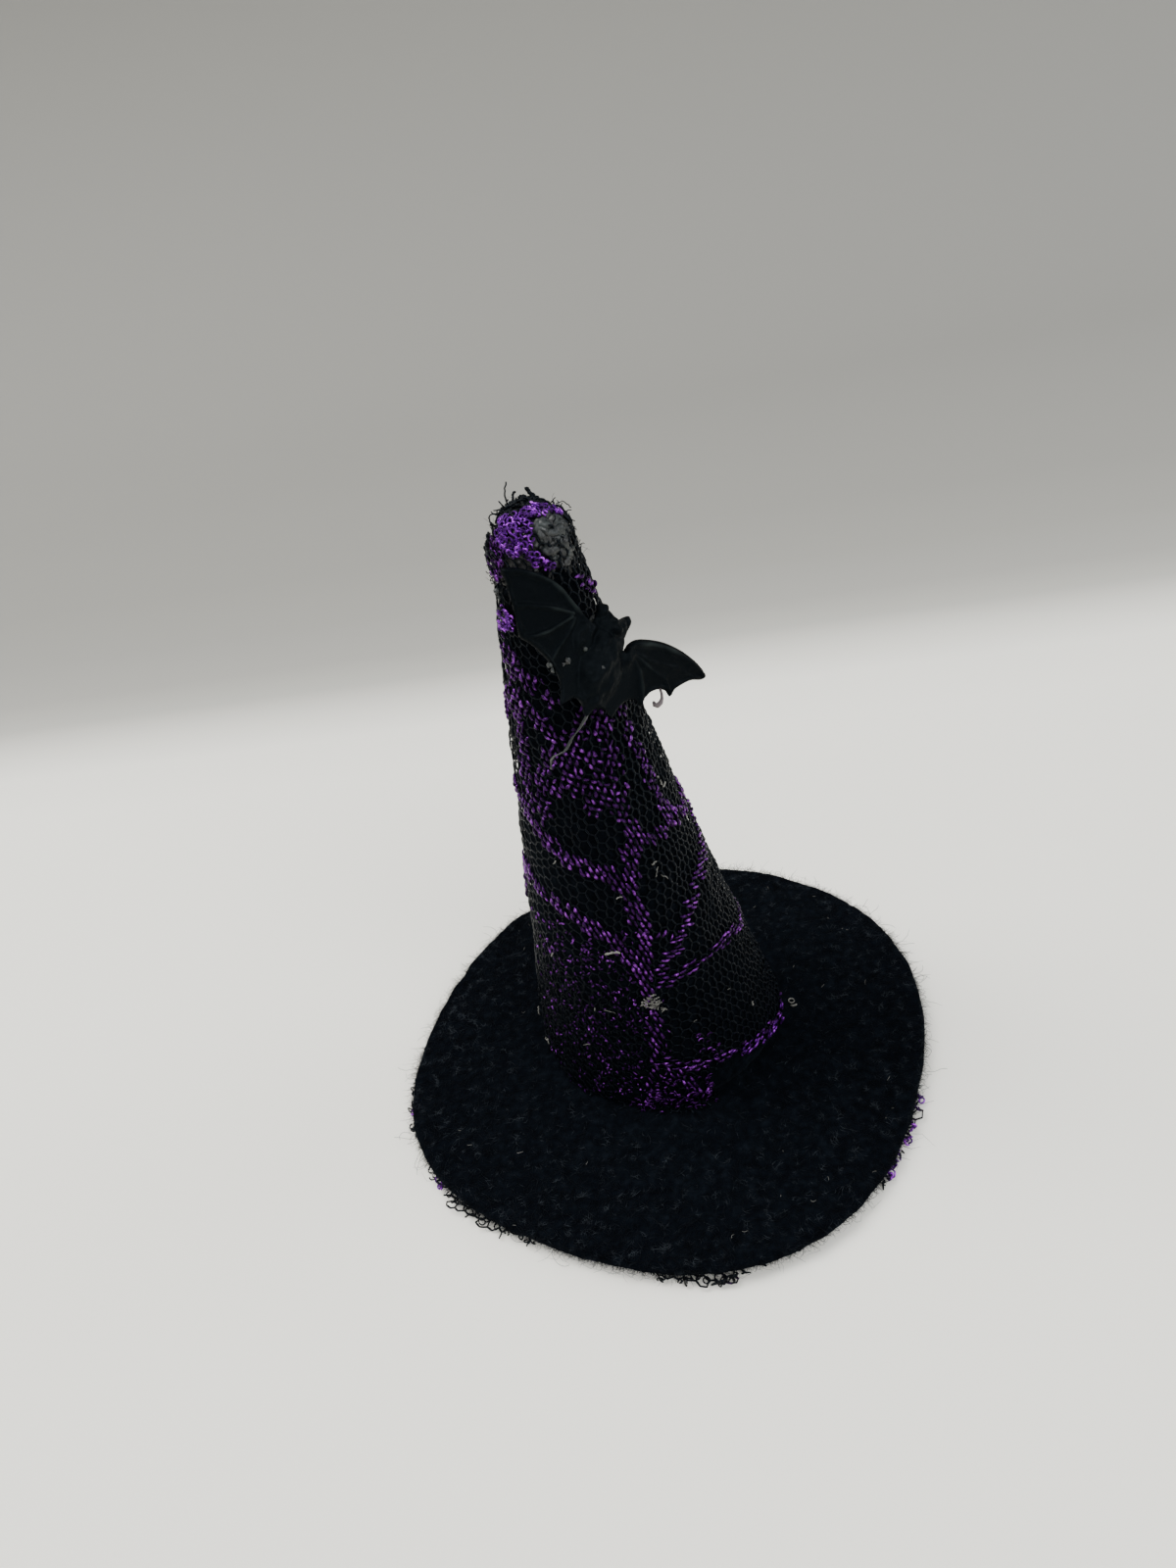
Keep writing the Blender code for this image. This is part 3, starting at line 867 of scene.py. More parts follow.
def honeycomb(low, high):
    """Upright and slanting stitches over a rectangle, as start and end points in the plane."""
    rows = np.arange(int(np.floor(low[1] / ROW)), int(np.ceil(high[1] / ROW)) + 1)
    columns = np.arange(int(np.floor(low[0] / CELL_WIDTH)), int(np.ceil(high[0] / CELL_WIDTH)) + 1)
    row, column = all_pairs(rows, columns)
    x = (column + 0.5 * (row % 2)) * CELL_WIDTH
    y = row * ROW
    foot, head = np.stack([x, y], axis=-1), np.stack([x, y + CELL_UPRIGHT], axis=-1)
    slants = [np.stack([head, head + (side * CELL_WIDTH / 2, CELL_SLANT)], axis=1) for side in (-1, 1)]
    return np.stack([foot, head], axis=1), np.concatenate(slants)


CONE_SINE = 0.165
SLICE_RADIUS = RADII[0] / CONE_SINE
GRAIN_UPRIGHT = radians(5.0)  # the angle round the cone where the stitches point straight up


def wrap(flat):
    """Flat points to (angle round the cone, distance up the side)."""
    down = SLICE_RADIUS - flat[..., 1]
    distance = np.hypot(flat[..., 0], down)
    turn = GRAIN_UPRIGHT + np.arctan2(flat[..., 0], down) / CONE_SINE
    return turn, SLICE_RADIUS - distance


def unwrap(turn, along):
    distance = SLICE_RADIUS - along
    slant = (turn - GRAIN_UPRIGHT) * CONE_SINE
    return np.stack([distance * np.sin(slant), SLICE_RADIUS - distance * np.cos(slant)], axis=-1)


# %% [markdown]
# ## Where the web is
# The spider web is a drawing on the net: main threads that run up the cone, and arcs between them.
# Each is a short list of places, as an angle in degrees (minus 90 is the front, 0 the right side) and
# a height in millimetres. With it go the band's half width and the lean of its stitches: 0 stands
# along the net's upright stitches, 90 lies round the cone.

# %% Lines of the web
WEB_LINES = [
    # the main thread, up the front
    (1.30, 0, [(-66, 64), (-67, 57), (-74, 50), (-68, 46), (-75, 43), (-83, 40), (-84, 36), (-82, 33),
               (-84, 30), (-90, 25)]),
    (0.95, 0, [(-90, 25), (-91, 18), (-95, 12)]),
    (0.50, 0, [(-95, 12), (-101, 7), (-106, 3)]),
    # arcs to the left of it
    (1.35, 0, [(-172, 51), (-158, 49.5), (-140, 46.5), (-119, 43.5), (-100, 41.8), (-84, 39)]),
    (1.25, 0, [(-175, 38), (-160, 37), (-140, 36.6), (-126, 35.4), (-114, 33.6), (-104, 32), (-94, 28),
               (-88, 25)]),
    # arcs to the right of it
    (1.00, 0, [(-77, 44.3), (-65, 44), (-54, 43.9), (-41, 43.8), (-29, 43.6), (-14, 42.9), (4, 43.5)]),
    (1.15, 118, [(4, 40), (-6, 37.5), (-13, 35.6), (-26, 34.9), (-37, 33.8), (-48, 32), (-56, 30),
                 (-66, 28.3), (-76, 25.8), (-86, 23.5)]),
    (0.78, 106, [(14, 18.5), (-6, 20), (-27, 22.4), (-40, 23.3), (-55, 23.8), (-67, 23.7), (-78, 23.2)]),
    (0.60, 60, [(-93, 31.5), (-79, 30.8), (-66, 29.6)]),
    # the arc along the net's raw edge
    (1.00, 110, [(-8, 2.7), (-19, 3.2), (-33, 4.9), (-45, 6.3), (-61, 7.6), (-74, 8.4), (-83, 9.1),
                 (-92, 10.6)]),
    (0.80, 0, [(-95, 12.0), (-88, 8.0), (-82, 5.0)]),
    (0.80, 60, [(-84, 4.2), (-76, 3.3), (-72, 3.0)]),
    # crowded threads below the bat
    (1.50, 0, [(-150, 71), (-146, 64), (-147, 58), (-148, 53), (-150, 49)]),
    (1.40, 0, [(-129, 64), (-115, 61.8), (-110, 59), (-101, 56.5), (-95, 53.5), (-90, 51)]),
    (1.70, 0, [(-62, 65), (-76, 62.4), (-90, 60.4), (-100, 57.8)]),
    (1.00, 0, [(-45, 63), (-46, 60), (-44, 57), (-42, 54), (-42, 51), (-40, 47), (-36, 44)]),
    (1.40, 0, [(-131, 54), (-115, 54.2), (-99, 54.4), (-85, 53), (-70, 51.4)]),
    (1.15, 0, [(-84, 57), (-80, 54.4), (-76, 51.8), (-74, 49)]),
    (1.20, 0, [(-118, 58.5), (-127, 55.5), (-133, 52.5), (-130, 49)]),
    # higher up, beside and behind the bat's wing
    (1.20, 0, [(-160, 71.5), (-150, 70.8), (-136, 68.6), (-120, 67.5), (-104, 65.7)]),
    (0.85, 90, [(-40, 78.6), (-24, 77), (-12, 76)]),
    # the back, which carries on in the same way
    (1.25, 0, [(-200, 64), (-208, 50), (-202, 38), (-210, 24), (-204, 12), (-210, 3)]),
    (1.20, 0, [(60, 70), (66, 56), (60, 43.5), (68, 30), (62, 16), (66, 3)]),
    (1.00, 0, [(4, 43.5), (30, 41), (60, 43.5), (90, 40.5), (98, 40.6)]),
    (1.00, 0, [(-270, 40.5), (-238, 42), (-208, 46), (-190, 49), (-172, 51)]),
    (0.90, 90, [(14, 18.5), (38, 19), (64, 24), (92, 20), (98, 20)]),
    (1.00, 0, [(-268, 20), (-238, 20.5), (-208, 25), (-188, 30), (-175, 38)]),
    (0.80, 90, [(62, 8), (90, 5.5), (98, 5.5)]),
    (0.80, 90, [(-270, 5.5), (-238, 6), (-208, 10)]),
    (1.10, 0, [(64, 60), (90, 57), (98, 57)]),
    (1.10, 0, [(-270, 57), (-238, 58), (-208, 56), (-190, 60), (-172, 63), (-150, 66)]),
]
STITCH_PITCH = 1.22  # mm from one purple stitch to the next along its length
STITCH_SPACING = 0.66  # mm across
MISSING_STITCHES = 0.09  # share of them that don't come to the surface


def band_line(line):
    """A band's line in the unrolled plane, as closely spaced points."""
    turn, height = along_chain(line, np.linspace(0, len(line) - 1, 24 * (len(line) - 1) + 1)).T
    return unwrap(np.radians(turn), along_at(height))


def nearest(spots, line):
    return np.sqrt(((spots[:, None] - line[None]) ** 2).sum(axis=-1)).min(axis=1)


def brick_places(line, half_width, lean, rng):
    """Places in rows like bricks, inside the band, and the direction of its stitches."""
    way = np.array([sin(radians(lean)), cos(radians(lean))])
    across = np.array([way[1], -way[0]])
    reach = np.stack([line @ across, line @ way], axis=-1)
    low, high = reach.min(axis=0) - 2.0, reach.max(axis=0) + 2.0
    columns = np.arange(np.floor(low[0] / STITCH_SPACING), high[0] / STITCH_SPACING)
    rows = np.arange(np.floor(low[1] / STITCH_PITCH), high[1] / STITCH_PITCH)
    column, row = all_pairs(columns, rows)
    offset = 0.5 * (column % 2)
    places = column[:, None] * STITCH_SPACING * across + (row + offset)[:, None] * STITCH_PITCH * way
    places = places + rng.normal(0.0, 0.07, places.shape)
    inside = nearest(places, line) < half_width * rng.uniform(0.66, 1.18, len(places))
    return places[inside & (rng.uniform(size=len(places)) > MISSING_STITCHES)], way


def web_stitches(rng):
    """Start and end points of every purple stitch in the unrolled plane."""
    middles, ends = np.zeros((0, 2)), []
    for half_width, lean, points in WEB_LINES:
        places, way = brick_places(band_line(points), half_width, lean, rng)
        if len(middles):
            places = places[nearest(places, middles) > 0.52]
        tilt = rng.normal(0.0, 0.09, (len(places), 1))
        ways = way + tilt * (way[1], -way[0])
        half = 0.5 * rng.uniform(0.92, 1.16, (len(places), 1))
        middles = np.concatenate([middles, places])
        ends.append(np.stack([places - ways * half, places + ways * half], axis=1))
    return np.concatenate(ends)


print(len(WEB_LINES), "bands in the web")

# %% [markdown]
# ## The net on the cone
# The net's lower edge was never hemmed. It ends on the brim at the front left, steps up to a curved
# line at the front right, and comes down to the brim again at the side. A stitch is kept when it is
# above that edge, and a cut one leaves a short loose end. Small ripples keep the cells from looking
# ruled, and the two ends of the net overlap at the back.

# %% Net round the cone
NET_EDGE = [(-280, 0.4), (-175, 0.4), (-150, 0.3), (-122, 0.0), (-112, -0.8), (-96, -1.4), (-84, -1.7),
            (-75, -1.4), (-73.5, 3.4), (-66, 4.3), (-58, 3.9), (-45, 2.6), (-33, 1.2), (-19, -0.1), (0, 0.0),
            (60, 0.2), (106, 0.4)]
NET_ENDS = (radians(-276.0), radians(98.0))


def edge_along(turn):
    """How far up the side the net's lower edge is, in mm."""
    return np.interp(np.degrees(turn), *np.array(NET_EDGE, float).T)


def above_edge(turn, along):
    ragged = 0.25 * np.sin(np.degrees(turn) * 1.3) + 0.15 * np.sin(np.degrees(turn) * 3.1)
    return (along > edge_along(turn) + ragged) & (turn > NET_ENDS[0]) & (turn < NET_ENDS[1])


STRETCH_TURN = np.radians([-276.0, -90.0, -60.0, 98.0])
STRETCH_WIDTH = np.array([1.0, 1.0, 0.74, 0.80])


def stretched(x):
    """Where a column of the honeycomb goes: the net was pulled taller and narrower at the right."""
    places = SLICE_RADIUS * 0.6 * (STRETCH_TURN - GRAIN_UPRIGHT) * CONE_SINE
    fine = np.linspace(places[0] - 40.0, places[-1] + 60.0, 600)
    width = np.interp(fine, places, STRETCH_WIDTH)
    moved = np.concatenate([[0.0], np.cumsum((width[1:] + width[:-1]) / 2 * np.diff(fine))]) + fine[0]
    return np.interp(x, fine, moved)


def drawn_net(low, high, jitter, seed):
    """The honeycomb's stitches, uneven in width, with the flat points pulled about a little."""
    uprights, slants = honeycomb(low, high)
    for some in (uprights, slants):
        flat = some.reshape(-1, 2)
        spots = np.column_stack([flat, np.zeros(len(flat))])
        pull = np.stack([ripple(spots, 5.0, seed), ripple(spots, 4.0, seed + 1)], axis=-1)
        small = np.stack([ripple(spots, 1.2, seed + 2), ripple(spots, 1.2, seed + 3)], axis=-1)
        flat += (0.35 * pull + 0.10 * small) * jitter
    return uprights, slants


def net_gap(turn, along):
    """How far the net stands off the cone's skin: it lies on the felt, with small folds."""
    spots = on_cone(turn, along).reshape(-1, 3)
    folds = 0.10 * ripple(spots, 2.6, 43) + 0.05 * ripple(spots, 1.0, 44)
    lap = np.where(turn > FELT_SEAM, 0.22, 0.0)
    lean = 0.12 + 0.20 * np.cos(turn - radians(15.0))
    return lean - 0.22 + folds.reshape(np.shape(turn)) + lap


def strand_paths(flat_ends, steps):
    """Wrap straight flat stitches on to the cone as short paths, with their outward directions."""
    turn, along = wrap(points_between(flat_ends, steps))
    along = np.minimum(along, SIDE_LENGTH - 0.15)
    return on_cone(turn, along, net_gap(turn, along)), cone_outward(turn, along), turn, along


def keep_and_trim(ends, rng):
    """Drop the stitches below the net's edge, and cut those that cross it to a loose end."""
    turn, along = wrap(ends)
    inside = above_edge(turn, along) & (along < SIDE_LENGTH - 0.5)
    whole = inside.all(axis=1)
    cut = (inside.any(axis=1) & ~whole) & (rng.uniform(size=len(ends)) < 0.75)
    loose = np.where(inside[cut][:, :1, None], ends[cut], ends[cut][:, ::-1])
    loose[:, 1] = loose[:, 0] + (loose[:, 1] - loose[:, 0]) * rng.uniform(0.3, 0.9, (len(loose), 1))
    return np.concatenate([ends[whole], loose])


slice_turns = np.linspace(*NET_ENDS, 90)
slice_edge = np.concatenate([unwrap(slice_turns, -4.0), unwrap(slice_turns, SIDE_LENGTH)])
uprights, slants = drawn_net(slice_edge.min(axis=0) - 2, slice_edge.max(axis=0) + (40, 2), 1.0, 41)
for ends in (uprights, slants):
    ends[..., 0] = stretched(ends[..., 0])
rng = np.random.default_rng(45)
uprights, slants = keep_and_trim(uprights, rng), keep_and_trim(slants, rng)
print(len(uprights), "upright stitches and", len(slants), "slanting threads in the cone's net")

# %% [markdown]
# Every stitch becomes a closed tube, with four points along an upright one and three along a slanting
# one. The net is made as a front half and a back half, so that neither mesh is too big to handle.


# %% Spin the net
def thick_at(turn):
    """The net's thread looks fatter where the cells are narrow."""
    return np.interp(np.degrees(turn), [-100.0, -65.0, 40.0, 80.0], [1.0, 1.40, 1.40, 1.15])


upright_paths, upright_out, upright_turn, _ = strand_paths(uprights, 4)
slant_paths, slant_out, slant_turn, _ = strand_paths(slants, 3)
upright_thick = 0.120 * thick_at(upright_turn) * np.array([0.85, 1.15, 1.15, 0.85])
slant_thick = 0.088 * thick_at(slant_turn)
front_half = np.cos(upright_turn[:, 0] + pi / 2) > 0.0
front_slants = np.cos(slant_turn[:, 0] + pi / 2) > 0.0
for name, some, others in (("front", front_half, front_slants), ("back", ~front_half, ~front_slants)):
    stitches = thread_mesh(upright_paths[some], upright_thick[some], upright_out[some], sides=5)
    links_between = thread_mesh(slant_paths[others], slant_thick[others], slant_out[others], sides=4)
    half_mesh = joined(stitches, links_between)
    make_piece(f"cone_net_{name}", *half_mesh, thread_look, "black_net")
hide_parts("crown_net")

# %% [markdown]
# ## Purple stitches
# The web isn't sewn on: its purple yarn is knitted into the net in columns, so it shows as rows of
# short dashes, like bricks. Each dash is flat foil that bulges outwards, narrows at both ends, and is
# rolled a little to one side, so that neighbours catch the light differently. Low down on the left
# only crumbs of it come to the surface, and under the bat the yarn is duller and less tidy.


# %% Knit the web
UNDER_BAT = 47.5  # mm; above this height the yarn is dull and ruffled


def dash_paths(ends, rise, steps=6):
    """Bulging paths over stitches, rise mm proud in the middle, and where their flat sides face."""
    turn, along = wrap(points_between(ends, steps))
    along = np.minimum(along, SIDE_LENGTH - 0.2)
    bulge = rise[:, None] * np.sin(np.linspace(0.0, 1.0, steps) * pi)[None]
    return on_cone(turn, along, net_gap(turn, along) + 0.12 + bulge), cone_outward(turn, along), turn, along


def rolled(out, paths, angles):
    """The outward directions turned about each thread by its own angle."""
    ways = unit(paths[:, -1] - paths[:, 0])[:, None]
    side = np.cross(ways, out)
    return out * np.cos(angles)[:, None, None] + side * np.sin(angles)[:, None, None]


def ruffled(ends, rng):
    """The stitches under the bat lie less tidily: each is shorter and turned about its middle."""
    middle = ends.mean(axis=1, keepdims=True)
    high = wrap(middle[:, 0])[1] > along_at(UNDER_BAT)
    angle = np.where(high, rng.normal(0.0, 0.55, len(ends)), 0.0)[:, None]
    size = np.where(high, rng.uniform(0.6, 1.0, len(ends)), 1.0)[:, None]
    x, y = np.moveaxis(ends - middle, -1, 0)
    turned = np.stack([x * np.cos(angle) - y * np.sin(angle), x * np.sin(angle) + y * np.cos(angle)], axis=-1)
    return middle + turned * size[..., None]


def web_crumbs(stitch_middles, rng, tries=1400):
    """Short crumbs of yarn between the stitches, low on the left."""
    turn = np.radians(rng.uniform(-168.0, -84.0, tries))
    height = rng.uniform(1.0, 31.0, tries)
    middles = unwrap(turn, along_at(height + CONE_FOOT - 1.0))
    chance = np.interp(np.degrees(turn), [-168, -140, -115, -84], [0.10, 0.35, 0.65, 0.45])
    middles = middles[(rng.uniform(size=tries) < chance) & (nearest(middles, stitch_middles) > 0.7)]
    count = len(middles)
    way = unit(rng.normal(size=(count, 2)) * (0.8, 1.0)) * rng.uniform(0.10, 0.34, (count, 1))
    paths, out, *_ = dash_paths(np.stack([middles - way, middles + way], 1), np.full(count, 0.05))
    thick = rng.uniform(0.08, 0.15, (count, 1)) * np.array([0.6, 1.0, 1.1, 1.1, 1.0, 0.6])
    print(count, "crumbs of purple yarn")
    return thread_mesh(paths, thick, rolled(out, paths, rng.normal(0, 0.6, count)), 6)


rng = np.random.default_rng(51)
stitch_ends = ruffled(web_stitches(rng), np.random.default_rng(52))
paths, out, turn, along = dash_paths(stitch_ends, rng.uniform(0.06, 0.20, len(stitch_ends)))
kept = (along.max(axis=1) < SIDE_LENGTH - 3.0) & above_edge(turn, along - 0.1).all(axis=1)
paths, out = paths[kept], out[kept]
thick = rng.uniform(0.19, 0.26, (len(paths), 1)) * np.array([0.55, 0.95, 1.08, 1.08, 0.95, 0.55])
out = rolled(out, paths, rng.normal(0.0, 0.45, len(paths)))
upper = paths[..., 2].mean(axis=1) > UNDER_BAT
dashes, upper_dashes = (
    thread_mesh(paths[some], thick[some], out[some], sides=6, flatness=0.55, tip=0.8)
    for some in (~upper, upper)
)
web_mesh = joined(dashes, web_crumbs(stitch_ends.mean(axis=1), rng))
web = make_piece("purple_web", *web_mesh, web_look, "black_net")
upper_web = make_piece("purple_web_upper", *upper_dashes, dull_web_look, "black_net")
print(len(paths), "dashes of purple yarn")

# %% [markdown]
# ## The second layer at the lower left
# Where the net was wrapped a second time, low on the left, its threads are bunched and finer. This is
# the same honeycomb drawn smaller and turned, over a patch of the cone only, so the two layers cross.

# %% Bunched net
BUNCH_MIDDLE = (radians(-138.0), 11.0)
BUNCH_HALF = (14.0, 11.5)  # mm round the cone and up it
BUNCH_LEAN = radians(-14.0)


def bunched_net():
    uprights, slants = drawn_net((-16.5, -14.0), (16.5, 14.0), 1.3, 61)
    meshes = []
    for ends, radius in ((uprights, 0.085), (slants, 0.065)):
        ends = ends[((ends / BUNCH_HALF) ** 2).sum(axis=2).max(axis=1) < 1.0] * (0.80, 0.98)
        turned = ends @ flat_turn(BUNCH_LEAN) + unwrap(*BUNCH_MIDDLE)
        turned = turned[(wrap(turned)[1] > 0.2).all(axis=1)]
        paths, out, turn, _ = strand_paths(turned, 3)
        folds = 0.26 + 0.14 * ripple(paths.reshape(-1, 3), 2.4, 62).reshape(turn.shape)
        meshes.append(thread_mesh(paths + out * folds[..., None], radius, out, sides=4))
    return joined(*meshes)


bunch = make_piece("cone_net_bunch", *bunched_net(), thread_look, "black_net")

# %% [markdown]
# ## Loops along the raw edge
# Where the net was cut at the front right, the purple yarn came loose and stands up in small loops,
# and more of them lie at the foot of the front.
# A loop is an arc of about three quarters of a circle on the cone's surface, tipped outwards.


# %% Loops of yarn
def yarn_loops(turn, along, radius, gap, stand, rng, arc=(200.0, 330.0)):
    """Open loops on the cone; stand is how far the top of each leans out, in radii."""
    count, steps = len(turn), 9
    out = cone_outward(turn, along)
    round_way = np.stack([-np.sin(turn), np.cos(turn), np.zeros(count)], axis=-1)
    up_way = np.cross(out, round_way)
    sweep = np.radians(rng.uniform(*arc, count))[:, None] * np.linspace(-0.5, 0.5, steps)
    sweep = sweep + (pi / 2 + rng.normal(0.0, 0.9, count))[:, None]
    radius, stand = np.broadcast_to(radius, count)[:, None], np.broadcast_to(stand, count)[:, None]
    middle = on_cone(turn, along, gap)
    right_part = (radius * np.cos(sweep))[..., None] * round_way[:, None]
    up_part = (radius * np.sin(sweep) * rng.uniform(0.8, 1.2, (count, 1)))[..., None] * up_way[:, None]
    lift = (radius * stand * (0.5 + 0.5 * np.sin(sweep)))[..., None] * out[:, None]
    return middle[:, None] + right_part + up_part + lift, out[:, None]


def loose_loops(middles, radius, rng):
    """Open loops that lie any way round."""
    count = len(middles)
    one = unit(rng.normal(size=(count, 3)))
    other = unit(np.cross(one, rng.normal(size=(count, 3))))
    sweep = np.radians(rng.uniform(200.0, 340.0, count))[:, None] * np.linspace(0.0, 1.0, 9)
    sweep = sweep + rng.uniform(0.0, tau, (count, 1))
    ring = np.cos(sweep)[..., None] * one[:, None] + np.sin(sweep)[..., None] * other[:, None]
    return middles[:, None] + np.broadcast_to(radius, count)[:, None, None] * ring


rng = np.random.default_rng(71)
count = 40
turn = np.radians(rng.uniform(-62.0, -12.0, count))
along = edge_along(turn) + rng.uniform(-0.2, 1.3, count)
paths, out = yarn_loops(turn, along, rng.uniform(0.28, 0.5, count), 0.25, rng.uniform(0.3, 1.5, count), rng)
hem_loops = make_piece("hem_loops", *thread_mesh(paths, 0.12, out, sides=6), tip_web_look, "black_net")
count = 80
turn = np.radians(rng.uniform(-112.0, -62.0, count))
along = edge_along(turn) + 0.4 + rng.gamma(1.6, 1.6, count)
paths, out = yarn_loops(turn, along, rng.uniform(0.22, 0.42, count), 0.2, rng.uniform(0.2, 1.0, count), rng)
foot_loops = make_piece("foot_loops", *thread_mesh(paths, 0.09, out, sides=6), web_look, "black_net")

# %% [markdown]
# ## Gathering at the tip
# At the blunt tip the net was bunched and set in glue. The web's yarn lies there in tight bright
# loops, a lump of grey glue shows between them, and black ends stick out. Places on the tip are
# written as an angle and a distance from the pole, so a patch is a small polygon seen from above.

# %% Patches of the tip
BRIGHT_PATCH = [(-178, 3.7), (-173, 2.2), (-119, 1.1), (-67, 2.4), (-83, 4.6), (-93, 5.8), (-80, 6.7),
                (-67, 8.1), (-75, 8.6), (-91, 7.6), (-107, 6.5), (-129, 6.2), (-149, 5.4)]
BRIGHT_STRIP = [(60, 0.4), (26, 2.0), (-1, 3.4), (-14, 4.3), (-45, 3.6), (-80, 2.6), (-110, 1.2)]
GREY_PATCH = [(-54, 2.3), (-24, 3.1), (-24, 5.0), (-29, 6.7), (-35, 8.2), (-50, 9.0), (-63, 8.2), (-68, 6.3),
              (-71, 4.5), (-75, 3.3)]
BULGE_PATCH = [(-185, 5.0), (-150, 5.4), (-140, 6.5), (-138, 8.6), (-150, 10.2), (-168, 10.0), (-188, 8.0)]
SMALL_PATCH = [(-153, 13.0), (-128, 13.0), (-132, 15.8), (-152, 15.8)]


def in_patch(patch, turn, distance):
    """Which places are inside a polygon of the tip."""
    corner_turn, corner_distance = np.array(patch, float).T
    corners = corner_distance[:, None] * flat_way(corner_turn * (pi / 180))
    return inside_polygon(corners, distance[:, None] * flat_way(turn))


def patch_places(patch, spacing, rng):
    """Uneven places about spacing mm apart inside a patch of the tip."""
    x, y = all_pairs(*[np.arange(-17.0, 17.0, spacing)] * 2)
    x = x + (np.round(y / spacing) % 2) * spacing / 2 + rng.normal(0.0, 0.14, len(x))
    y = y * 0.9 + rng.normal(0.0, 0.14, len(y))
    turn, distance = np.arctan2(y, x), np.hypot(x, y)
    inside = in_patch(patch, turn, distance)
    return turn[inside], distance[inside]

# %% [markdown]
# The bright patches are filled with loops of yarn, a little over half a millimetre apart. On the left
# the same yarn bulges out below them, duller and flatter.

# %% Bright loops
rng = np.random.default_rng(81)
bright_patches = ((BRIGHT_PATCH, 0.62), (BRIGHT_STRIP, 0.70), (SMALL_PATCH, 0.85))
turn, distance = np.concatenate([patch_places(*patch, rng) for patch in bright_patches], axis=1)
count = len(turn)
radius = rng.uniform(0.24, 0.40, count)
gap = 0.12 + rng.uniform(0.0, 0.35, count)
paths, out = yarn_loops(turn, SIDE_LENGTH - distance, radius, gap, rng.uniform(0.2, 1.0, count), rng)
loop_mesh = thread_mesh(paths, rng.uniform(0.11, 0.17, (count, 1)), out, sides=6)
tip_loops = make_piece("tip_loops", *loop_mesh, tip_web_look, "black_net")
turn, distance = patch_places(BULGE_PATCH, 0.78, rng)
gap = rng.uniform(-0.35, 0.15, len(turn))
paths, out = yarn_loops(turn, SIDE_LENGTH - distance, 0.36, gap, rng.uniform(0.0, 0.35, len(turn)), rng)
tip_bulge = make_piece("tip_bulge_loops", *thread_mesh(paths, 0.12, out, sides=6), web_look, "black_net")


# %% [markdown]
# Threads that have come loose don't follow the cone. Each is a short random walk: it leaves in one
# direction and turns a little at every step.


# %% Frayed ends
def frayed_paths(starts, ways, lengths, rng, steps=9, curl=0.55):
    """Random walks of steps points, curling more or less."""
    paths = [starts]
    way = unit(ways)
    spin = rng.normal(0.0, curl, (len(starts), 3))
    for _ in range(steps - 1):
        spin = 0.6 * spin + 0.4 * rng.normal(0.0, curl, (len(starts), 3))
        way = unit(way + spin)
        paths.append(paths[-1] + way * (lengths / (steps - 1))[:, None])
    return np.stack(paths, axis=1)


RIM_HEIGHT = 84.0
# The gathered rim, in mm from the middle of the cone at that height: right, back, up
TIP_RIM = [
    (-3.2, 3.5, -0.2), (-2.4, 3.9, 0.2), (-1.6, 4.3, 1.1), (-0.8, 4.5, 1.4), (0.1, 4.5, 1.45),
    (1.0, 4.5, 1.45), (1.6, 4.3, 1.15), (2.5, 3.9, 0.7), (3.3, 3.6, 0.35), (4.0, 3.0, -0.2),
    (4.5, 1.4, -1.0), (4.7, -0.5, -2.0),
]
# Ends that stand up from it: how thick, then the points
TIP_ENDS = [
    (0.10, [(-1.8, 4.4, 1.5), (-1.8, 4.9, 2.2), (-1.65, 5.4, 2.9), (-1.35, 5.8, 3.4)]),
    (0.26, [(1.4, 4.3, 1.3), (1.2, 4.7, 1.9), (0.9, 5.0, 2.35), (0.8, 5.0, 2.5)]),
    (0.16, [(-0.9, 4.6, 1.4), (-1.0, 4.9, 1.9), (-0.8, 5.0, 2.3), (-0.6, 4.9, 2.4)]),
    (0.06, [(3.8, 3.7, 0.6), (4.5, 3.8, 0.7), (5.1, 3.4, 0.2), (5.3, 3.0, 0.0)]),
]


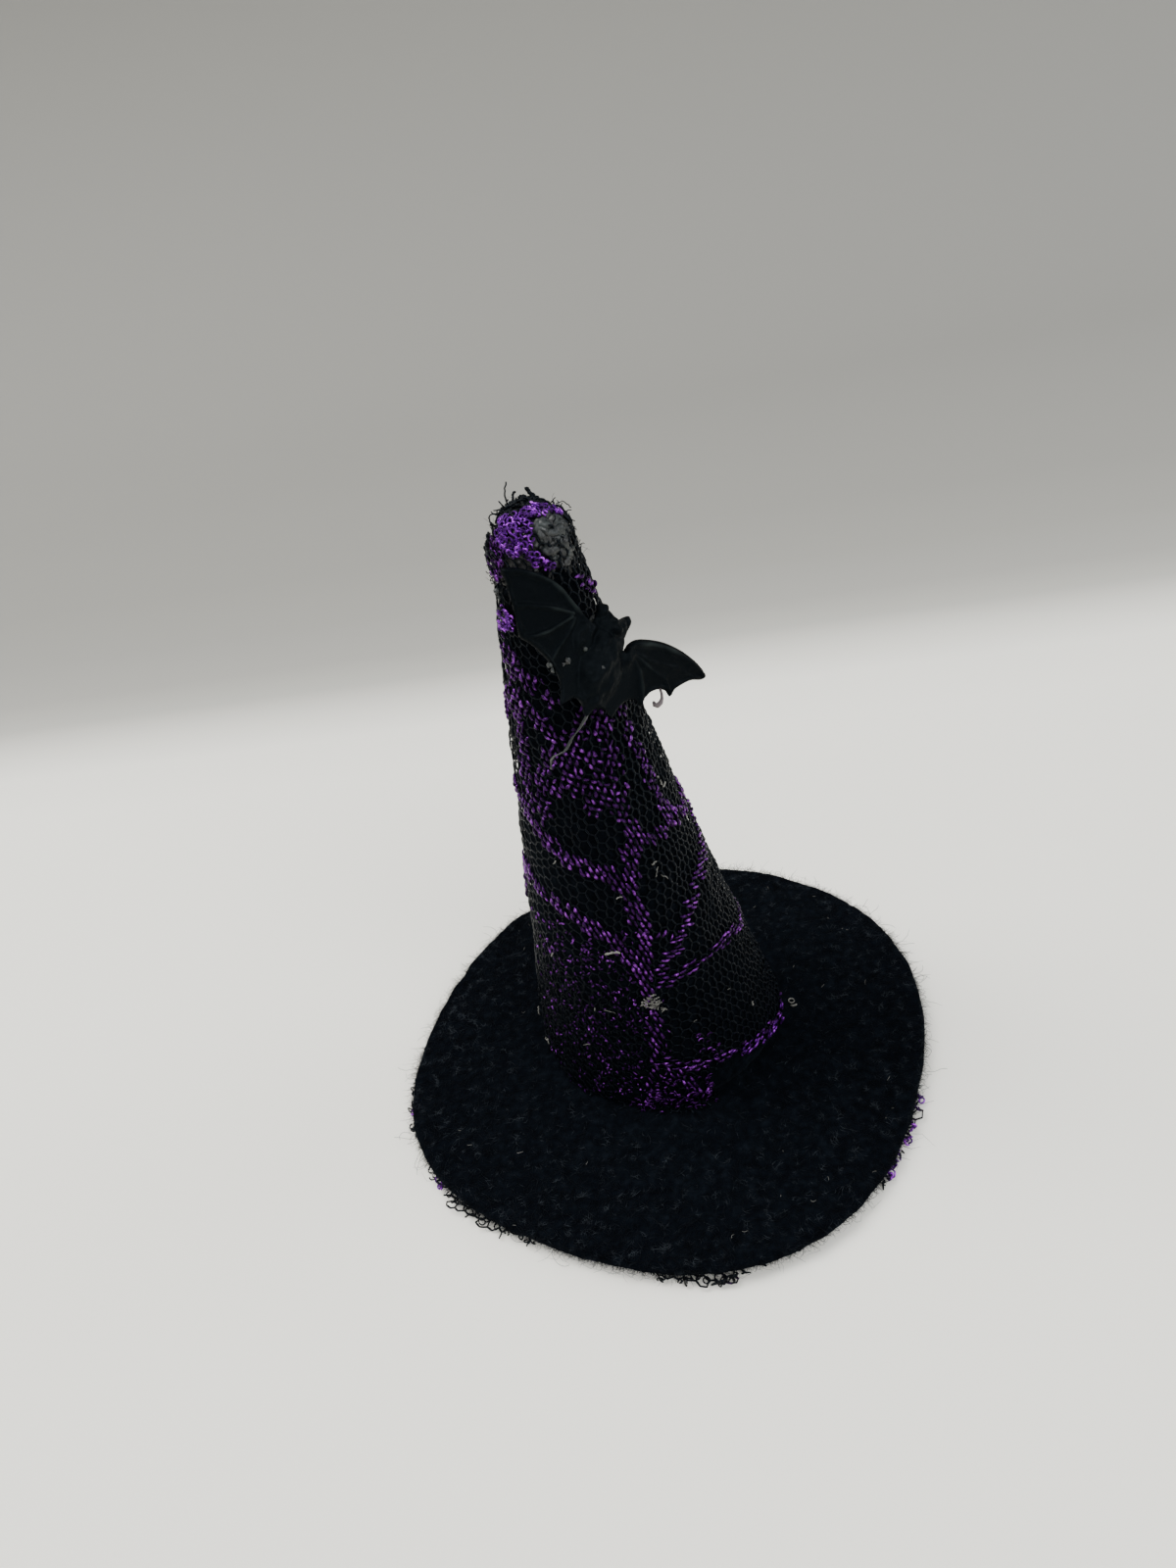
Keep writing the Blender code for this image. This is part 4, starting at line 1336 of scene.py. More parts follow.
def frayed_tip():
    rng = np.random.default_rng(82)
    meshes = []
    # (how many, angles, distances from the pole, lengths, thickness, how much of the way is up, curl)
    tufts = (
        (24, (100.0, 200.0), (2.6, 5.6), (0.9, 1.8), 0.130, 0.50, 0.95),
        (40, (-70.0, 110.0), (3.4, 6.0), (0.7, 1.5), 0.090, 0.30, 0.90),
        (26, (-45.0, 60.0), (6.0, 10.5), (0.6, 1.3), 0.060, 0.15, 0.80),
        (20, (150.0, 230.0), (5.0, 11.0), (0.5, 1.0), 0.070, 0.10, 0.80),
        (90, (-180.0, 180.0), (2.5, 11.0), (0.7, 1.8), 0.020, 0.35, 0.40),
    )
    for count, angles, distances, lengths, radius, upward, curl in tufts:
        turn = np.radians(rng.uniform(*angles, count))
        along = SIDE_LENGTH - rng.uniform(*distances, count)
        way = cone_outward(turn, along) + (0.0, 0.0, upward) + rng.normal(0.0, 0.35, (count, 3))
        paths = frayed_paths(on_cone(turn, along, 0.0), way, rng.uniform(*lengths, count), rng, curl=curl)
        meshes.append(thread_mesh(paths, radius * np.linspace(1.0, 0.7, 9), MOSTLY_UP, sides=4))
    # (how many, angles, distances from the pole) of black loops left by the cut cells
    cut_cells = (
        (40, (95.0, 215.0), (1.8, 5.6)),
        (20, (165.0, 215.0), (5.6, 9.0)),
        (26, (-60.0, 95.0), (3.4, 7.5)),
    )
    for count, angles, distances in cut_cells:
        turn = np.radians(rng.uniform(*angles, count))
        along = SIDE_LENGTH - rng.uniform(*distances, count)
        radius = rng.uniform(0.30, 0.50, count)
        paths, out = yarn_loops(turn, along, radius, 0.1, rng.uniform(0.3, 1.0, count), rng)
        meshes.append(thread_mesh(paths, 0.11, out, sides=5))
    middle = np.array([*cone_middle(RIM_HEIGHT), RIM_HEIGHT])
    count = 190
    share = rng.uniform(0.0, len(TIP_RIM) - 1.0, count)
    share = np.where(rng.uniform(size=count) < 0.6, share * 0.6, share)
    places = along_chain(TIP_RIM, share)
    places = middle + places * rng.uniform(0.86, 1.02, (count, 1)) + rng.normal(0.0, 0.16, (count, 3))
    paths = loose_loops(places, rng.uniform(0.24, 0.46, count), rng)
    meshes.append(thread_mesh(paths, 0.115, MOSTLY_UP, sides=5))
    for radius, points in TIP_ENDS:
        path = along_chain(points, np.linspace(0, len(points) - 1, 10))
        path = middle + path + rng.normal(0.0, 0.04, path.shape)
        meshes.append(thread_mesh(path[None], radius, MOSTLY_UP, sides=6))
    return joined(*meshes)


tip_tuft = make_piece("frayed_tip", *frayed_tip(), thread_look, "black_net")


# %% [markdown]
# The glue fills the rounded tip and bulges through the net at the right. Inside, its surface is the
# cone's own surface, sunk a little and closed by a floor, and stained by the felt. Outside, a cluster
# of overlapping lumps makes the grey patch.


# %% Lumps of glue
def crumbs(places, sizes, seed):
    """Small lumps of glue at places in mm."""
    rng = np.random.default_rng(seed)
    bm = bmesh.new()
    bmesh.ops.create_icosphere(bm, subdivisions=3, radius=1.0)
    ball_spots = np.array([tuple(vert.co) for vert in bm.verts])
    ball_faces = np.array([[vert.index for vert in face.verts] for face in bm.faces])
    bm.free()
    meshes = []
    for place, size in zip(places, sizes):
        stretch = size * rng.uniform(0.7, 1.3, 3)
        lumps = 1.0 + 0.18 * ripple(ball_spots + rng.uniform(0, 50, 3), 0.5, 112)
        meshes.append((ball_spots * lumps[:, None] * stretch + place, ball_faces))
    return joined(*meshes)

# %% [markdown]
# The plug of glue is built ring by ring, like the cone. The grey patch is lumps that sit deeper the
# bigger they are, so that only their tops show.


# %% Glue in the tip
def tip_glue_mesh(around=96, levels=70):
    turn = np.linspace(-pi, pi, around, endpoint=False)[None]
    distance = np.linspace(11.6, 0.25, levels)[:, None]
    turn, distance = (grid.copy() for grid in np.broadcast_arrays(turn, distance))
    spots = on_cone(turn, SIDE_LENGTH - distance, 0.0)
    lumps = 0.16 * ripple(spots.reshape(-1, 3), 1.1, 83) + 0.08 * ripple(spots.reshape(-1, 3), 0.5, 84)
    gap = -0.62 + lumps.reshape(turn.shape)
    gap = np.where(distance > 10.6, -0.9, gap)
    rings = on_cone(turn, SIDE_LENGTH - distance, gap)
    spots = np.concatenate([rings.reshape(-1, 3), [rings[0].mean(axis=0), rings[-1].mean(axis=0)]])
    quads = tube_quads(levels, around)
    faces = np.concatenate([quads[:, [0, 1, 2]], quads[:, [0, 2, 3]]])
    side, after = np.arange(around), (np.arange(around) + 1) % around
    floor = np.stack([after, side, np.full(around, len(spots) - 2)], axis=-1)
    last = (levels - 1) * around
    roof = np.stack([side + last, after + last, np.full(around, len(spots) - 1)], axis=-1)
    return spots, np.concatenate([faces, floor, roof])


make_piece("tip_glue", *tip_glue_mesh(), dark_glue_look, "hot_glue", "crown_tip_glue")
rng = np.random.default_rng(85)
turn, distance = patch_places(GREY_PATCH, 0.85, rng)
size = rng.uniform(0.45, 0.95, len(turn))
places = on_cone(turn, SIDE_LENGTH - distance, 0.26 - 0.95 * size)
make_piece("tip_glue_patch", *crumbs(places, size * 1.05, 86), grey_glue_look, "hot_glue")

# %% [markdown]
# ## The net under the brim
# The same net covers the brim's underside. It was cut roughly, so black hexagons and a few purple
# stitches stick out past the felt at the front left, the front and the right. The honeycomb stays flat
# here. A stitch is kept when it is inside a ragged outline, which is the CAD net's own outline
# pushed in and out.


# %% Net under the brim
BRIM_NET_LEAN = radians(35.0)  # how far its honeycomb is turned on the table


def ragged_reach(turn):
    wobble = 0.35 * np.sin(31 * turn) + 0.25 * np.sin(53 * turn + 1.0)
    sticks_out = net_reach(turn) > felt_reach(turn) + 0.3
    return net_reach(turn) + np.where(sticks_out, 0.25 + wobble, -0.3 + 0.3 * wobble)


def brim_strands(ends, steps):
    """Paths of stitches that lie flat under the felt and curl up past its edge."""
    flat = points_between(ends, steps)
    x, y = flat[..., 0], flat[..., 1]
    spots = np.dstack([flat, np.zeros(x.shape)])
    curl = np.clip(np.hypot(x, y) - felt_reach(np.arctan2(y, x)) + 0.8, 0.0, 2.5)
    small, large = (ripple(spots.reshape(-1, 3), *noise).reshape(x.shape) for noise in ((1.5, 91), (2.0, 92)))
    spots[..., 2] = 0.20 + 0.05 * small
    spots[..., 2] += brim_wave(x, y) * 0.9 + curl * (0.28 + 0.30 * large)
    spots[..., 2] = np.maximum(spots[..., 2], 0.18)
    return spots


brim_uprights, brim_slants = drawn_net((-42.0, -42.0), (42.0, 42.0), 1.0, 93)
kept = []
for ends in (brim_uprights, brim_slants):
    ends = ends @ flat_turn(BRIM_NET_LEAN)
    turns = np.arctan2(ends[..., 1], ends[..., 0])
    reach = np.hypot(ends[..., 0], ends[..., 1])
    hole = np.hypot(*(ends - OPENING_MIDDLE).transpose(2, 0, 1)) < OPENING_RADIUS - 1.0
    kept.append(ends[((reach < ragged_reach(turns)) & ~hole).all(axis=1)])
brim_uprights, brim_slants = kept
upright_thick = 0.145 * np.array([0.85, 1.1, 0.85])
stitches = thread_mesh(brim_strands(brim_uprights, 3), upright_thick, UPWARD, sides=5)
between = thread_mesh(brim_strands(brim_slants, 3), 0.115, UPWARD, sides=4)
brim_net = make_piece("brim_net_threads", *joined(stitches, between), thread_look, "black_net", "brim_net")


def edge_loops(zones, radius, seed):
    """Loose loops where the net's cut edge shows; zones are (from, to, how many, how far out)."""
    rng = np.random.default_rng(seed)
    turn = np.radians(np.concatenate([rng.uniform(start, end, count) for start, end, count, _ in zones]))
    far = np.concatenate([rng.uniform(-0.5, far, count) for _, _, count, far in zones])
    reach = felt_reach(turn) + far
    x, y = reach * np.cos(turn), reach * np.sin(turn)
    z = 0.45 + brim_wave(x, y) * 0.9 + rng.uniform(0.0, 0.7, len(turn))
    paths = loose_loops(np.column_stack([x, y, z]), rng.uniform(0.24, 0.55, len(turn)), rng)
    paths[..., 2] = np.maximum(paths[..., 2], 0.15)
    return thread_mesh(paths, radius, MOSTLY_UP, sides=5)


BLACK_ENDS = [(173, 184, 14, 0.7), (186, 191, 6, 0.6), (199, 232, 28, 0.4), (257, 276, 26, 0.8),
              (308, 331, 16, 0.3)]
PURPLE_ENDS = [(181, 184, 2, 0.7), (203, 207, 5, 0.8), (310, 332, 26, 0.55)]
brim_ends = make_piece("brim_net_ends", *edge_loops(BLACK_ENDS, 0.105, 95), thread_look, "black_net")
purple_ends = make_piece("brim_purple_ends", *edge_loops(PURPLE_ENDS, 0.13, 96), tip_web_look, "black_net")

# %% [markdown]
# The web carries on under the brim. It hardly shows there, but past the edge at the front left and the
# front right a few purple stitches can be seen. They lie on the net's own uprights.

# %% Purple on the brim's net
BRIM_WEB = [
    (1.1, [(-38, -6), (-24, -9), (-12, -17), (-4, -28), (3, -40)]),
    (1.1, [(26, -32), (32, -22), (29, -8), (34, 4), (31, 18), (22, 30), (8, 35)]),
    (1.2, [(-42, -20), (-30, -14), (-20, 0), (-26, 14), (-16, 28), (-6, 37)]),
    (1.0, [(36, -24), (27, -26), (14, -18), (-2, -24), (-14, -30), (-20, -36)]),
]
brim_lines = []
for half_width, line in BRIM_WEB:
    spots = along_chain(line, np.linspace(0, len(line) - 1, 40 * len(line)))
    brim_lines.append(np.column_stack([spots, np.full(len(spots), half_width)]))
brim_lines = np.concatenate(brim_lines)
middles = brim_uprights.mean(axis=1)
far = np.linalg.norm(middles[:, None] - brim_lines[None, :, :2], axis=-1)
rng = np.random.default_rng(94)
turns = np.degrees(np.arctan2(middles[:, 1], middles[:, 0])) % 360.0
edge = np.hypot(*middles.T) > felt_reach(np.radians(turns)) - 0.6
right_edge = edge & (turns > 316.0) & (turns < 338.0)
left_edge = edge & (turns > 198.0) & (turns < 209.0)
in_band = (far / brim_lines[:, 2]).min(axis=1) < rng.uniform(0.8, 1.1, len(middles))
ends = brim_uprights[in_band | right_edge | left_edge]
ends = ends.mean(axis=1, keepdims=True) + (ends - ends.mean(axis=1, keepdims=True)) * 1.25
thick = 0.17 * np.array([0.5, 1.0, 1.1, 1.0, 0.5])
brim_dashes = thread_mesh(brim_strands(ends, 5), thick, UPWARD, sides=6, flatness=0.7)
brim_web = make_piece("brim_web", *brim_dashes, web_look, "black_net")

# %% [markdown]
# ## The bat
# The charm is one moulding: thin wings with a raised rim, two ribs on each wing that fan out from the
# wrist, and a rounded, furry body. It is drawn as a height map. The CAD bat gives the plane to work
# in. Its widest flat faces point away from the hat, and it is longest across its wings.


# %% Read the bat's plane
def bat_plane():
    """The charm's own axes and middle, in mm: x along the wings, y to the head, z away from the hat."""
    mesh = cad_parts["bat_charm"].data
    facing = {}
    for face in mesh.polygons:
        key = tuple(round(part, 2) for part in face.normal)
        facing[key] = facing.get(key, 0.0) + face.area
    flats = sorted(facing, key=facing.get)[-2:]
    out = Vector(max(flats, key=lambda normal: normal[2])).normalized()
    spots = corners_mm("bat_charm")
    away = np.array(out)
    level = spots @ away
    plate = spots[abs(level - level.min()) < 1.6]
    spread = plate - np.outer(plate @ away, away)
    _, _, ways = np.linalg.svd(spread - spread.mean(axis=0), full_matrices=False)
    wing = ways[0] * np.sign(ways[0][0])
    head = np.cross(away, wing)
    x = (spots @ wing).min() / 2 + (spots @ wing).max() / 2
    y = (spots @ head).min() + 8.6
    z = level.min() + 0.8
    return np.stack([wing, head, away]), np.array([x, y, z])


BAT_AXES, BAT_MIDDLE = bat_plane()
print("the bat's axes are", BAT_AXES.round(3).tolist())
print("and its middle is at", (BAT_MIDDLE @ BAT_AXES).round(2).tolist(), "mm")


def from_bat(spots):
    return (np.asarray(spots, float) + BAT_MIDDLE) @ BAT_AXES


bat_look = moulded_plastic(BAT_AXES, BAT_MIDDLE)

# %% [markdown]
# The outline is a list of corner points, smoothed by a curve that passes through them. A triangulation
# with the outline as its border fills it with evenly spaced points, and the height map moves each one:
# the membrane is low, and the rims, ribs, body and head rise from it. The same triangles turned over
# make the back, so front and back share the outline's points and the bat is closed.

# %% Outline, rims and ribs
BAT_OUTLINE = [
    (0.2, 3.1), (0.7, 3.4), (1.4, 4.05), (2.1, 4.3), (2.25, 2.8), (2.1, 1.6), (2.15, 0.3), (2.5, 0.2),
    (2.9, 1.3), (3.9, 2.25), (5.8, 3.0), (7.9, 3.5), (10.3, 3.65), (12.6, 3.45), (14.4, 3.0), (15.6, 2.3),
    (15.1, 1.6), (13.5, 0.9), (12.3, -0.1), (11.3, -1.2), (10.9, -2.2), (10.0, -1.8), (8.8, -2.1),
    (7.7, -3.0), (7.2, -4.0), (7.0, -4.9), (6.0, -4.5), (5.0, -4.9), (4.1, -6.0), (3.4, -7.5), (2.2, -7.1),
    (0.9, -7.5), (0.0, -8.7), (-1.0, -7.7), (-2.3, -7.3), (-3.7, -8.7), (-4.1, -7.3), (-4.8, -6.0),
    (-6.6, -4.8), (-8.6, -4.0), (-10.0, -3.7), (-10.9, -3.6), (-11.5, -2.8), (-12.4, -1.3), (-13.3, -0.1),
    (-14.2, 1.2), (-15.1, 2.0), (-15.4, 2.6), (-13.7, 3.5), (-11.7, 3.9), (-9.5, 4.1), (-7.5, 3.7),
    (-5.8, 2.8), (-3.7, 1.8), (-2.7, 1.7), (-2.5, 2.6), (-2.6, 3.9), (-1.8, 4.3), (-1.1, 4.0), (-0.4, 3.1),
]
# ridges as (height, half width, points), in the bat's own plane
BAT_RIDGES = [
    (0.42, 0.34, [(3.0, 0.6), (3.6, 1.5), (5.8, 2.4), (7.9, 2.9), (10.3, 3.0), (12.5, 2.8), (14.3, 2.3),
                  (15.0, 2.0)]),
    (0.42, 0.36, [(-3.2, 1.3), (-5.8, 2.4), (-7.5, 3.2), (-9.5, 3.7), (-11.7, 3.5), (-13.7, 3.1),
                  (-15.0, 2.4)]),
    (0.30, 0.26, [(-15.0, 2.4), (-14.0, 1.0), (-13.0, -0.4), (-12.0, -1.9), (-10.9, -3.3)]),
    (0.30, 0.26, [(-10.9, -3.3), (-8.6, -3.7), (-6.7, -4.5), (-4.9, -5.7)]),
    (0.22, 0.22, [(15.0, 2.0), (13.3, 1.0), (12.0, 0.1), (11.0, -1.0), (10.7, -1.9)]),
    (0.22, 0.22, [(10.7, -1.9), (9.9, -1.5), (8.7, -1.8), (7.5, -2.8), (6.9, -4.4)]),
    (0.34, 0.26, [(-12.8, -0.6), (-11.0, 0.15), (-8.8, 0.9), (-5.6, 1.5)]),
    (0.34, 0.26, [(-10.8, -3.5), (-9.3, -2.7), (-7.8, -1.5), (-5.6, 1.1)]),
    (0.24, 0.24, [(-6.6, -4.6), (-6.2, -3.0), (-5.4, -0.8), (-5.2, 1.1)]),
    (0.26, 0.26, [(3.7, 0.4), (6.6, -0.2), (9.3, -0.7), (10.8, -2.0)]),
    (0.26, 0.26, [(3.7, 0.2), (5.4, -1.2), (6.3, -2.7), (7.0, -4.6)]),
    (0.20, 0.22, [(3.9, 0.6), (6.8, 0.6), (10.8, 1.3), (13.6, 1.2)]),
]


def smooth_loop(corners, steps=7):
    """A closed curve through all corners (Catmull-Rom)."""
    p = np.array(corners, float)
    before, after, beyond = np.roll(p, 1, 0), np.roll(p, -1, 0), np.roll(p, -2, 0)
    t = np.linspace(0.0, 1.0, steps, endpoint=False)[:, None, None]
    bends = 2 * before - 5 * p + 4 * after - beyond, 3 * (p - after) + beyond - before
    curve = 0.5 * (2 * p + t * (after - before) + t**2 * bends[0] + t**3 * bends[1])
    return curve.transpose(1, 0, 2).reshape(-1, 2)


def distance_to_line(spots, line):
    """Distance from each point to a chain of straight stretches."""
    line = np.asarray(line, float)
    nearest = np.full(len(spots), 99.0)
    for start, end in zip(line, line[1:]):
        way = end - start
        share = np.clip((spots - start) @ way / (way @ way), 0.0, 1.0)
        nearest = np.minimum(nearest, np.linalg.norm(spots - start - share[:, None] * way, axis=1))
    return nearest


def dome(spots, middle, half, height):
    """An ellipse of the given height over flat points, zero outside."""
    inside = 1.0 - (((spots - middle) / half) ** 2).sum(axis=1)
    return height * np.clip(inside, 0.0, 1.0) ** 0.95


# %% [markdown]
# The body, head, ears and feet are domes, with fur pressed into them as noise. Near the outline the
# front is rounded off, and the wings bend back a little towards their ends.


# %% Mould the bat
def bat_mesh(spacing=0.17):
    border = smooth_loop(BAT_OUTLINE)
    row = spacing * 0.87
    y, x = all_pairs(np.arange(-8.9, 4.5, row), np.arange(-15.6, 15.6, spacing))
    grid = np.stack([x + (np.round(y / row) % 2) * spacing / 2, y], axis=-1)
    grid = grid[inside_polygon(border, grid)]
    grid = grid[distance_to_line(grid, np.vstack([border, border[:1]])) > spacing * 0.55]
    rim = [(index, (index + 1) % len(border)) for index in range(len(border))]
    corners = [Vector(spot) for spot in np.concatenate([border, grid]).tolist()]
    filled = delaunay_2d_cdt(corners, rim, [], 0, 1e-5, True)
    flat = np.array([tuple(spot) for spot in filled[0]])
    triangles = np.array([face for face in filled[2]])
    triangles = triangles[inside_polygon(border, flat[triangles].mean(axis=1))]
    used = np.unique(triangles)
    flat, triangles = flat[used], np.searchsorted(used, triangles)
    edge = distance_to_line(flat, np.vstack([border, border[:1]]))
    return flat, triangles, edge


def bat_front(flat):
    spots = np.column_stack([flat, np.zeros(len(flat))])
    height = -0.02 + 0.035 * ripple(spots, 1.2, 101) + 0.02 * ripple(spots, 0.5, 102)
    ridges = [rise * np.exp(-((distance_to_line(flat, line) / half) ** 2)) for rise, half, line in BAT_RIDGES]
    height = height + np.maximum.reduce(ridges)
    fur = 0.09 * ripple(spots * (1.0, 0.5, 1.0), 0.5, 103) + 0.16 * ripple(spots, 1.1, 104)
    body = dome(flat, (0.0, -2.4), (3.0, 5.4), 1.6)
    shoulders = dome(flat, (-2.9, -0.4), (2.0, 2.2), 0.75) + dome(flat, (2.9, -0.4), (1.5, 1.8), 0.7)
    head = dome(flat, (0.0, 2.2), (2.15, 1.9), 1.5)
    ears = dome(flat, (-1.9, 3.4), (0.75, 1.1), 0.75) + dome(flat, (1.8, 3.3), (0.7, 1.1), 0.75)
    snout = dome(flat, (0.0, 1.6), (0.8, 0.6), 0.55)
    eyes = dome(flat, (-0.75, 2.5), (0.34, 0.34), 0.28) + dome(flat, (0.75, 2.5), (0.34, 0.34), 0.28)
    feet = dome(flat, (-1.3, -7.0), (0.7, 1.0), 0.5) + dome(flat, (1.3, -6.8), (0.7, 1.0), 0.5)
    raised = np.maximum.reduce([body, shoulders, head, ears, feet])
    height = np.maximum(height, raised + fur * np.clip(raised * 2.0, 0.0, 1.0))
    return height + snout + eyes


flat, triangles, edge = bat_mesh()
front_height = bat_front(flat)
round_off = np.sqrt(np.clip(1.0 - (1.0 - np.clip(edge / 0.28, 0.0, 1.0)) ** 2, 0.0, 1.0))
bend = -0.0030 * np.clip(abs(flat[:, 0]) - 3.0, 0.0, None) ** 2
middle_height = -0.28 + bend
front_side = np.column_stack([flat, middle_height + (front_height + 0.28) * round_off])
back_side = np.column_stack([flat, middle_height - 0.34 * round_off])
border = edge < 1e-6
back_index = np.where(border, np.arange(len(flat)), len(flat) + np.cumsum(~border) - 1)
spots = from_bat(np.concatenate([front_side, back_side[~border]]))
faces = np.concatenate([triangles, back_index[triangles][:, ::-1]])
make_piece("moulded_bat", spots, faces, bat_look, "bat_plastic", "bat_charm")
print(border.sum(), "of the bat's points are on its outline")

# %% [markdown]
# Flash is plastic that was squeezed out of the mould. A brownish curl of it hangs under the wing.

# %% The curl of flash under the wing
CURL = [(9.0, -1.9, -0.2), (9.35, -2.4, -0.1), (9.45, -3.0, 0.1), (9.3, -3.6, 0.25), (8.9, -4.1, 0.3),
        (8.5, -4.15, 0.25), (8.4, -3.85, 0.1)]
CURL_THICKNESS = 0.20 * np.array([0.7, 0.8, 1.0, 1.5, 1.7, 1.4, 0.9])
curl_mesh = thread_mesh(from_bat(CURL)[None], CURL_THICKNESS, BAT_AXES[2], sides=6)
make_piece("bat_flash_curl", *curl_mesh, flash_look, "bat_plastic")


# %% [markdown]
# ## Hot glue
# Hot glue is cloudy and uneven. Each lump of it starts as a copy of its CAD bead, gets more points,
# and is pushed in and out along its own normals.


# %% Glue from the CAD beads
def glue_from(node, lumps, cuts, look=clear_glue_look):
    """A lumpy copy of a CAD bead of glue."""
    bm = bmesh.new()
    bm.from_mesh(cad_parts[node].data)
    bmesh.ops.remove_doubles(bm, verts=bm.verts, dist=1e-6)
    bmesh.ops.subdivide_edges(bm, edges=bm.edges, cuts=cuts, use_grid_fill=True, smooth=0.6)
    bmesh.ops.triangulate(bm, faces=bm.faces)
    bm.normal_update()
    spots = np.array([tuple(vert.co) for vert in bm.verts]) / MM
    normals = np.array([tuple(vert.normal) for vert in bm.verts])
    low, high = (np.array(tuple(corner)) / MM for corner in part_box(node))
    pushed = spots + normals * (lumps * ripple(spots, 1.2, 111))[:, None]
    spots = np.clip(pushed, low - 0.04, high + 0.3 * lumps)
    faces = np.array([[vert.index for vert in face.verts] for face in bm.faces])
    bm.free()
    return make_piece(f"{node}_lumpy", spots, faces, look, "hot_glue", node)


glue_from("bat_glue", 0.22, 2, dull_glue_look)
glue_from("crown_seam_glue", 0.06, 1)
glue_from("crown_base_glue", 0.08, 1)
for dot in sorted(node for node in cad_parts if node.startswith("brim_glue_")):
    glue_from(dot, 0.05, 2)

# %% [markdown]
# A string of glue is pulled off when the glue gun leaves, and small crumbs of it show beside the bat.

# %% Crumbs and a string of glue
bat_crumbs = [
    (-4.6, -3.8, 0.0), (-4.9, -4.3, -0.2), (-6.4, -4.95, -0.4), (-5.8, -5.3, -0.5), (-0.7, -3.2, 1.45),
    (-3.2, -1.9, 0.75),
]
cone_crumbs = on_cone(np.radians([-150.0, -147.0]), along_at(np.array([78.6, 77.9])), 0.3)
places = np.concatenate([from_bat(bat_crumbs), cone_crumbs])
crumb_sizes = [0.50, 0.34, 0.38, 0.26, 0.28, 0.22, 0.30, 0.22]
make_piece("glue_crumbs", *crumbs(places, crumb_sizes, 113), dull_glue_look, "hot_glue")
string = [(-76, 63.6), (-87, 61.9), (-95, 60.7), (-102, 59.3), (-112, 58.6), (-115.5, 57.9), (-116, 56.9)]
steps = np.linspace(0, len(string) - 1, 24)
turn, height = along_chain(string, steps).T
turn, along = np.radians(turn), along_at(height)
path = on_cone(turn, along, 0.50 + 0.12 * np.sin(steps * 2.3))[None]
thickness = 0.15 * (1 + 0.4 * np.sin(steps * 3.1))
string_mesh = thread_mesh(path, thickness, cone_outward(turn, along), 6)
make_piece("glue_string", *string_mesh, dull_glue_look, "hot_glue")

# %% [markdown]
# ## Lint
# Handmade things pick up lint. A few pale fibres and flecks lie on the net and the felt: one small
# ring of fibre at the right of the cone's foot, a torn three-cornered fleck low on the front, and short
# wavy fibres caught in the net.


# %% Flecks and pale fibres
# (angle, height, length, lean from level in degrees, thickness) of the fibres caught in the net
FLECKS = [
    (-103, 29.6, 1.9, 4, 0.17), (-143, 26.9, 0.6, 60, 0.13), (-129, 13.0, 1.5, 22, 0.05),
    (-112, 20.0, 1.5, -20, 0.045), (-163, 7.1, 0.9, 30, 0.07), (-161, 7.3, 0.8, -50, 0.07),
    (-165, 6.8, 0.7, 80, 0.06), (-173, 10.0, 1.7, 90, 0.10), (-34, 49.6, 0.5, 70, 0.15),
    (-32, 49.0, 0.6, 20, 0.15), (-35, 50.6, 0.4, -40, 0.12), (-64, 39.6, 1.4, 60, 0.06),
    (-60, 38.4, 1.2, -50, 0.06), (-64, 41.0, 0.6, 20, 0.11), (-38, 11.5, 0.6, 80, 0.11),
    (-91, 38.0, 0.7, 20, 0.08), (-72, 16.0, 0.5, 0, 0.07), (-128, 43.0, 0.6, 50, 0.07),
    (-48, 17.0, 0.6, -30, 0.05), (-120, 20.0, 0.5, 80, 0.06),
]
TORN_FLECK = [(-96.0, 21.0), (-87.0, 22.5), (-84.5, 19.3)]


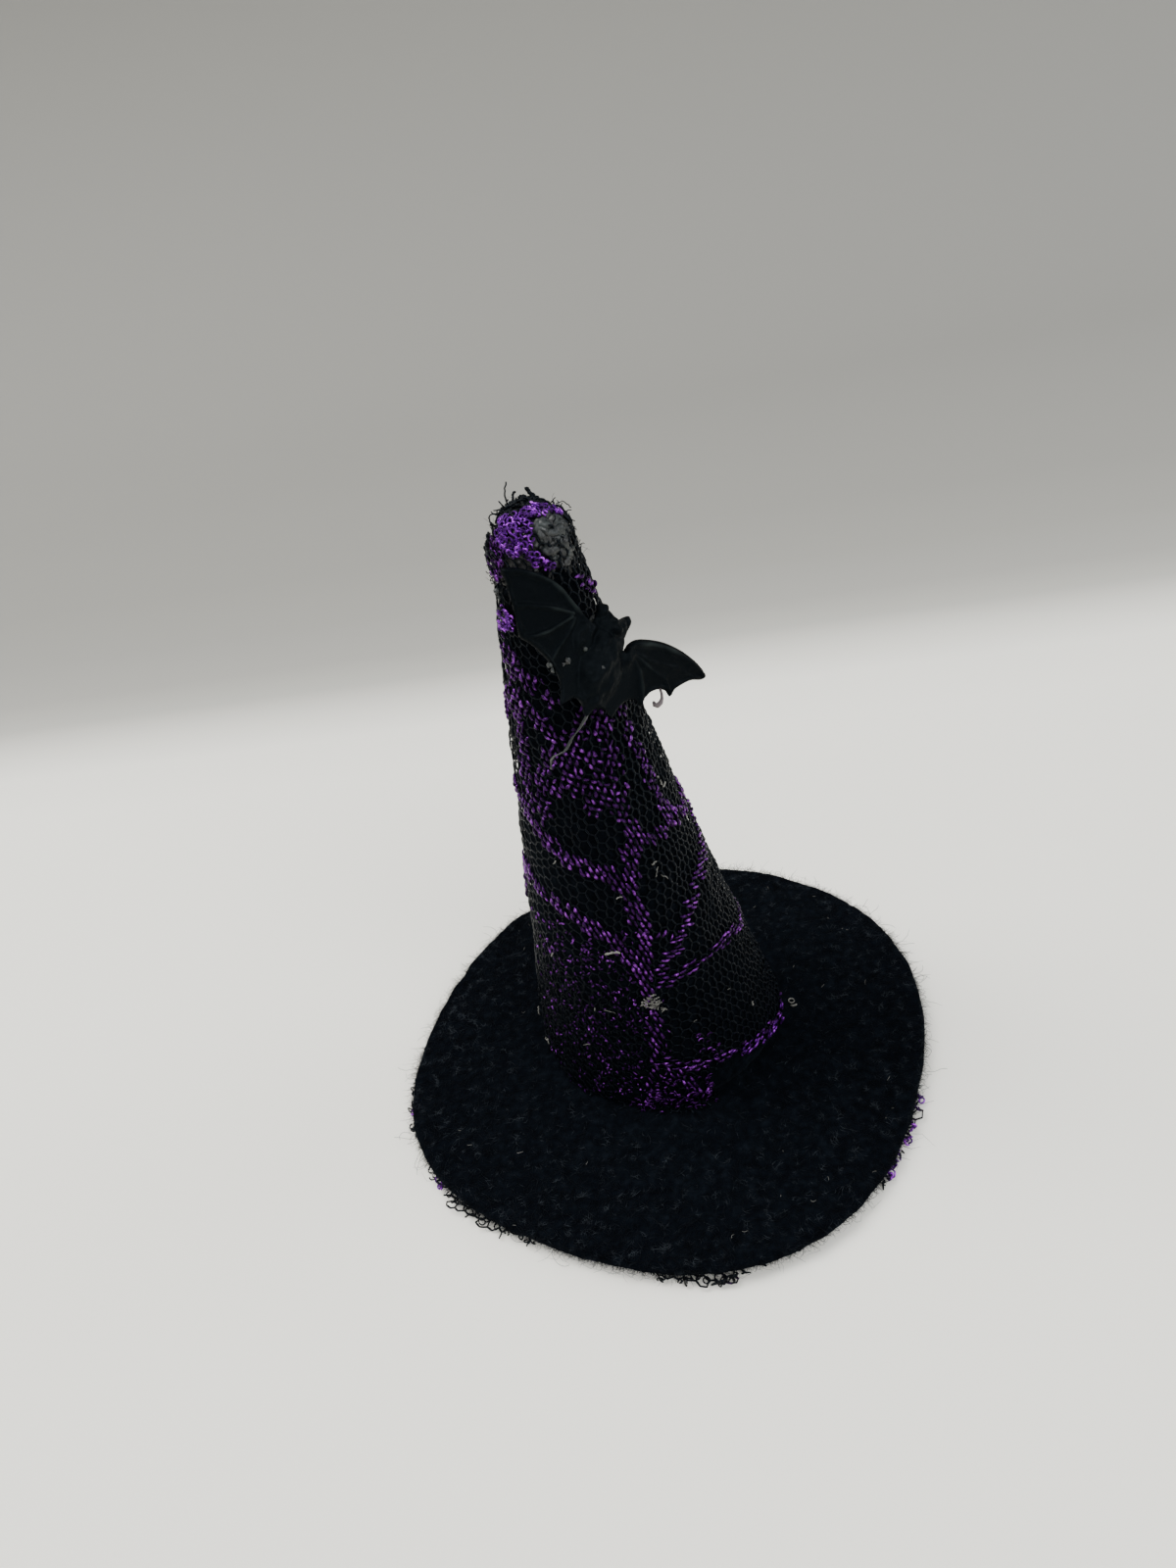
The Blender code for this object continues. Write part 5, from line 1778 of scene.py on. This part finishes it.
def fleck_mesh(flecks, rng):
    turn, height, length, lean, thick = np.array(flecks, float).T[:, :, None]
    wiggle = rng.normal(0.0, 0.035, (len(flecks), 7)).cumsum(axis=1) * length
    level, up = np.cos(np.radians(lean)), np.sin(np.radians(lean))
    reach = length * np.linspace(-0.5, 0.5, 7)
    along = along_at(height) + reach * up + wiggle * level
    turn = np.radians(turn) + (reach * level - wiggle * up) / np.interp(along, ALONG, RADII)
    gap = 0.42 + rng.uniform(-0.08, 0.12, (len(flecks), 7))
    ragged = thick * rng.uniform(0.6, 1.2, (len(flecks), 7))
    return thread_mesh(on_cone(turn, along, gap), ragged, cone_outward(turn, along), sides=5)


def lint_mesh():
    rng = np.random.default_rng(121)
    count = 46
    places = rng.dirichlet((0.9, 0.9, 0.9), count) @ np.array(TORN_FLECK)
    length, lean = rng.uniform(0.4, 0.9, count), rng.normal(25.0, 45.0, count)
    torn = np.column_stack([places, length, lean, rng.uniform(0.05, 0.09, count)])
    meshes = [fleck_mesh(FLECKS, rng), fleck_mesh(torn, rng)]
    count = 34
    turn = rng.uniform(0, tau, count)
    reach = 19.0 + 18.0 * np.sqrt(rng.uniform(0, 1, count))
    starts = np.stack([reach * np.cos(turn), reach * np.sin(turn), np.zeros(count)], axis=-1)
    starts[:, 2] = brim_surface(starts[:, 0], starts[:, 1]) + 0.22
    ways = rng.normal(size=(count, 3)) * (1.0, 1.0, 0.12)
    paths = frayed_paths(starts, ways, rng.uniform(0.2, 0.9, count), rng, curl=0.3)
    paths[..., 2] = np.maximum(paths[..., 2], brim_surface(paths[..., 0], paths[..., 1]) + 0.08)
    meshes.append(thread_mesh(paths, 0.026, UPWARD, sides=4))
    sweep = np.linspace(0.15 * pi, 1.95 * pi, 16)
    ring = np.stack([19.9 + 0.42 * np.cos(sweep), 1.75 + 0.46 * np.sin(sweep), 0 * sweep], -1)
    knot = np.array([(19.6, 0.75, 0.0), (19.9, 0.62, 0.0), (20.2, 0.66, 0.0), (20.4, 0.8, 0.0)])
    for strand, thick in ((ring, 0.10), (knot, 0.16)):
        strand[:, 2] = brim_surface(strand[:, 0], strand[:, 1]) + 0.30
        meshes.append(thread_mesh(strand[None], thick, UPWARD, sides=6))
    return joined(*meshes)


make_piece("pale_lint", *lint_mesh(), lint_look, "black_felt")

# %% [markdown]
# ## Measuring the cloth
# The brim is cut from a square as wide as its outline, less the corners and the opening. The cone's
# felt is a slice of a circle. Here the brim's area is worked out from its outline, less the opening.

# %% Measure the brim
turns = np.linspace(0.0, tau, 720, endpoint=False)
brim_area = 0.5 * (felt_reach(turns) ** 2).mean() * tau - pi * OPENING_RADIUS**2
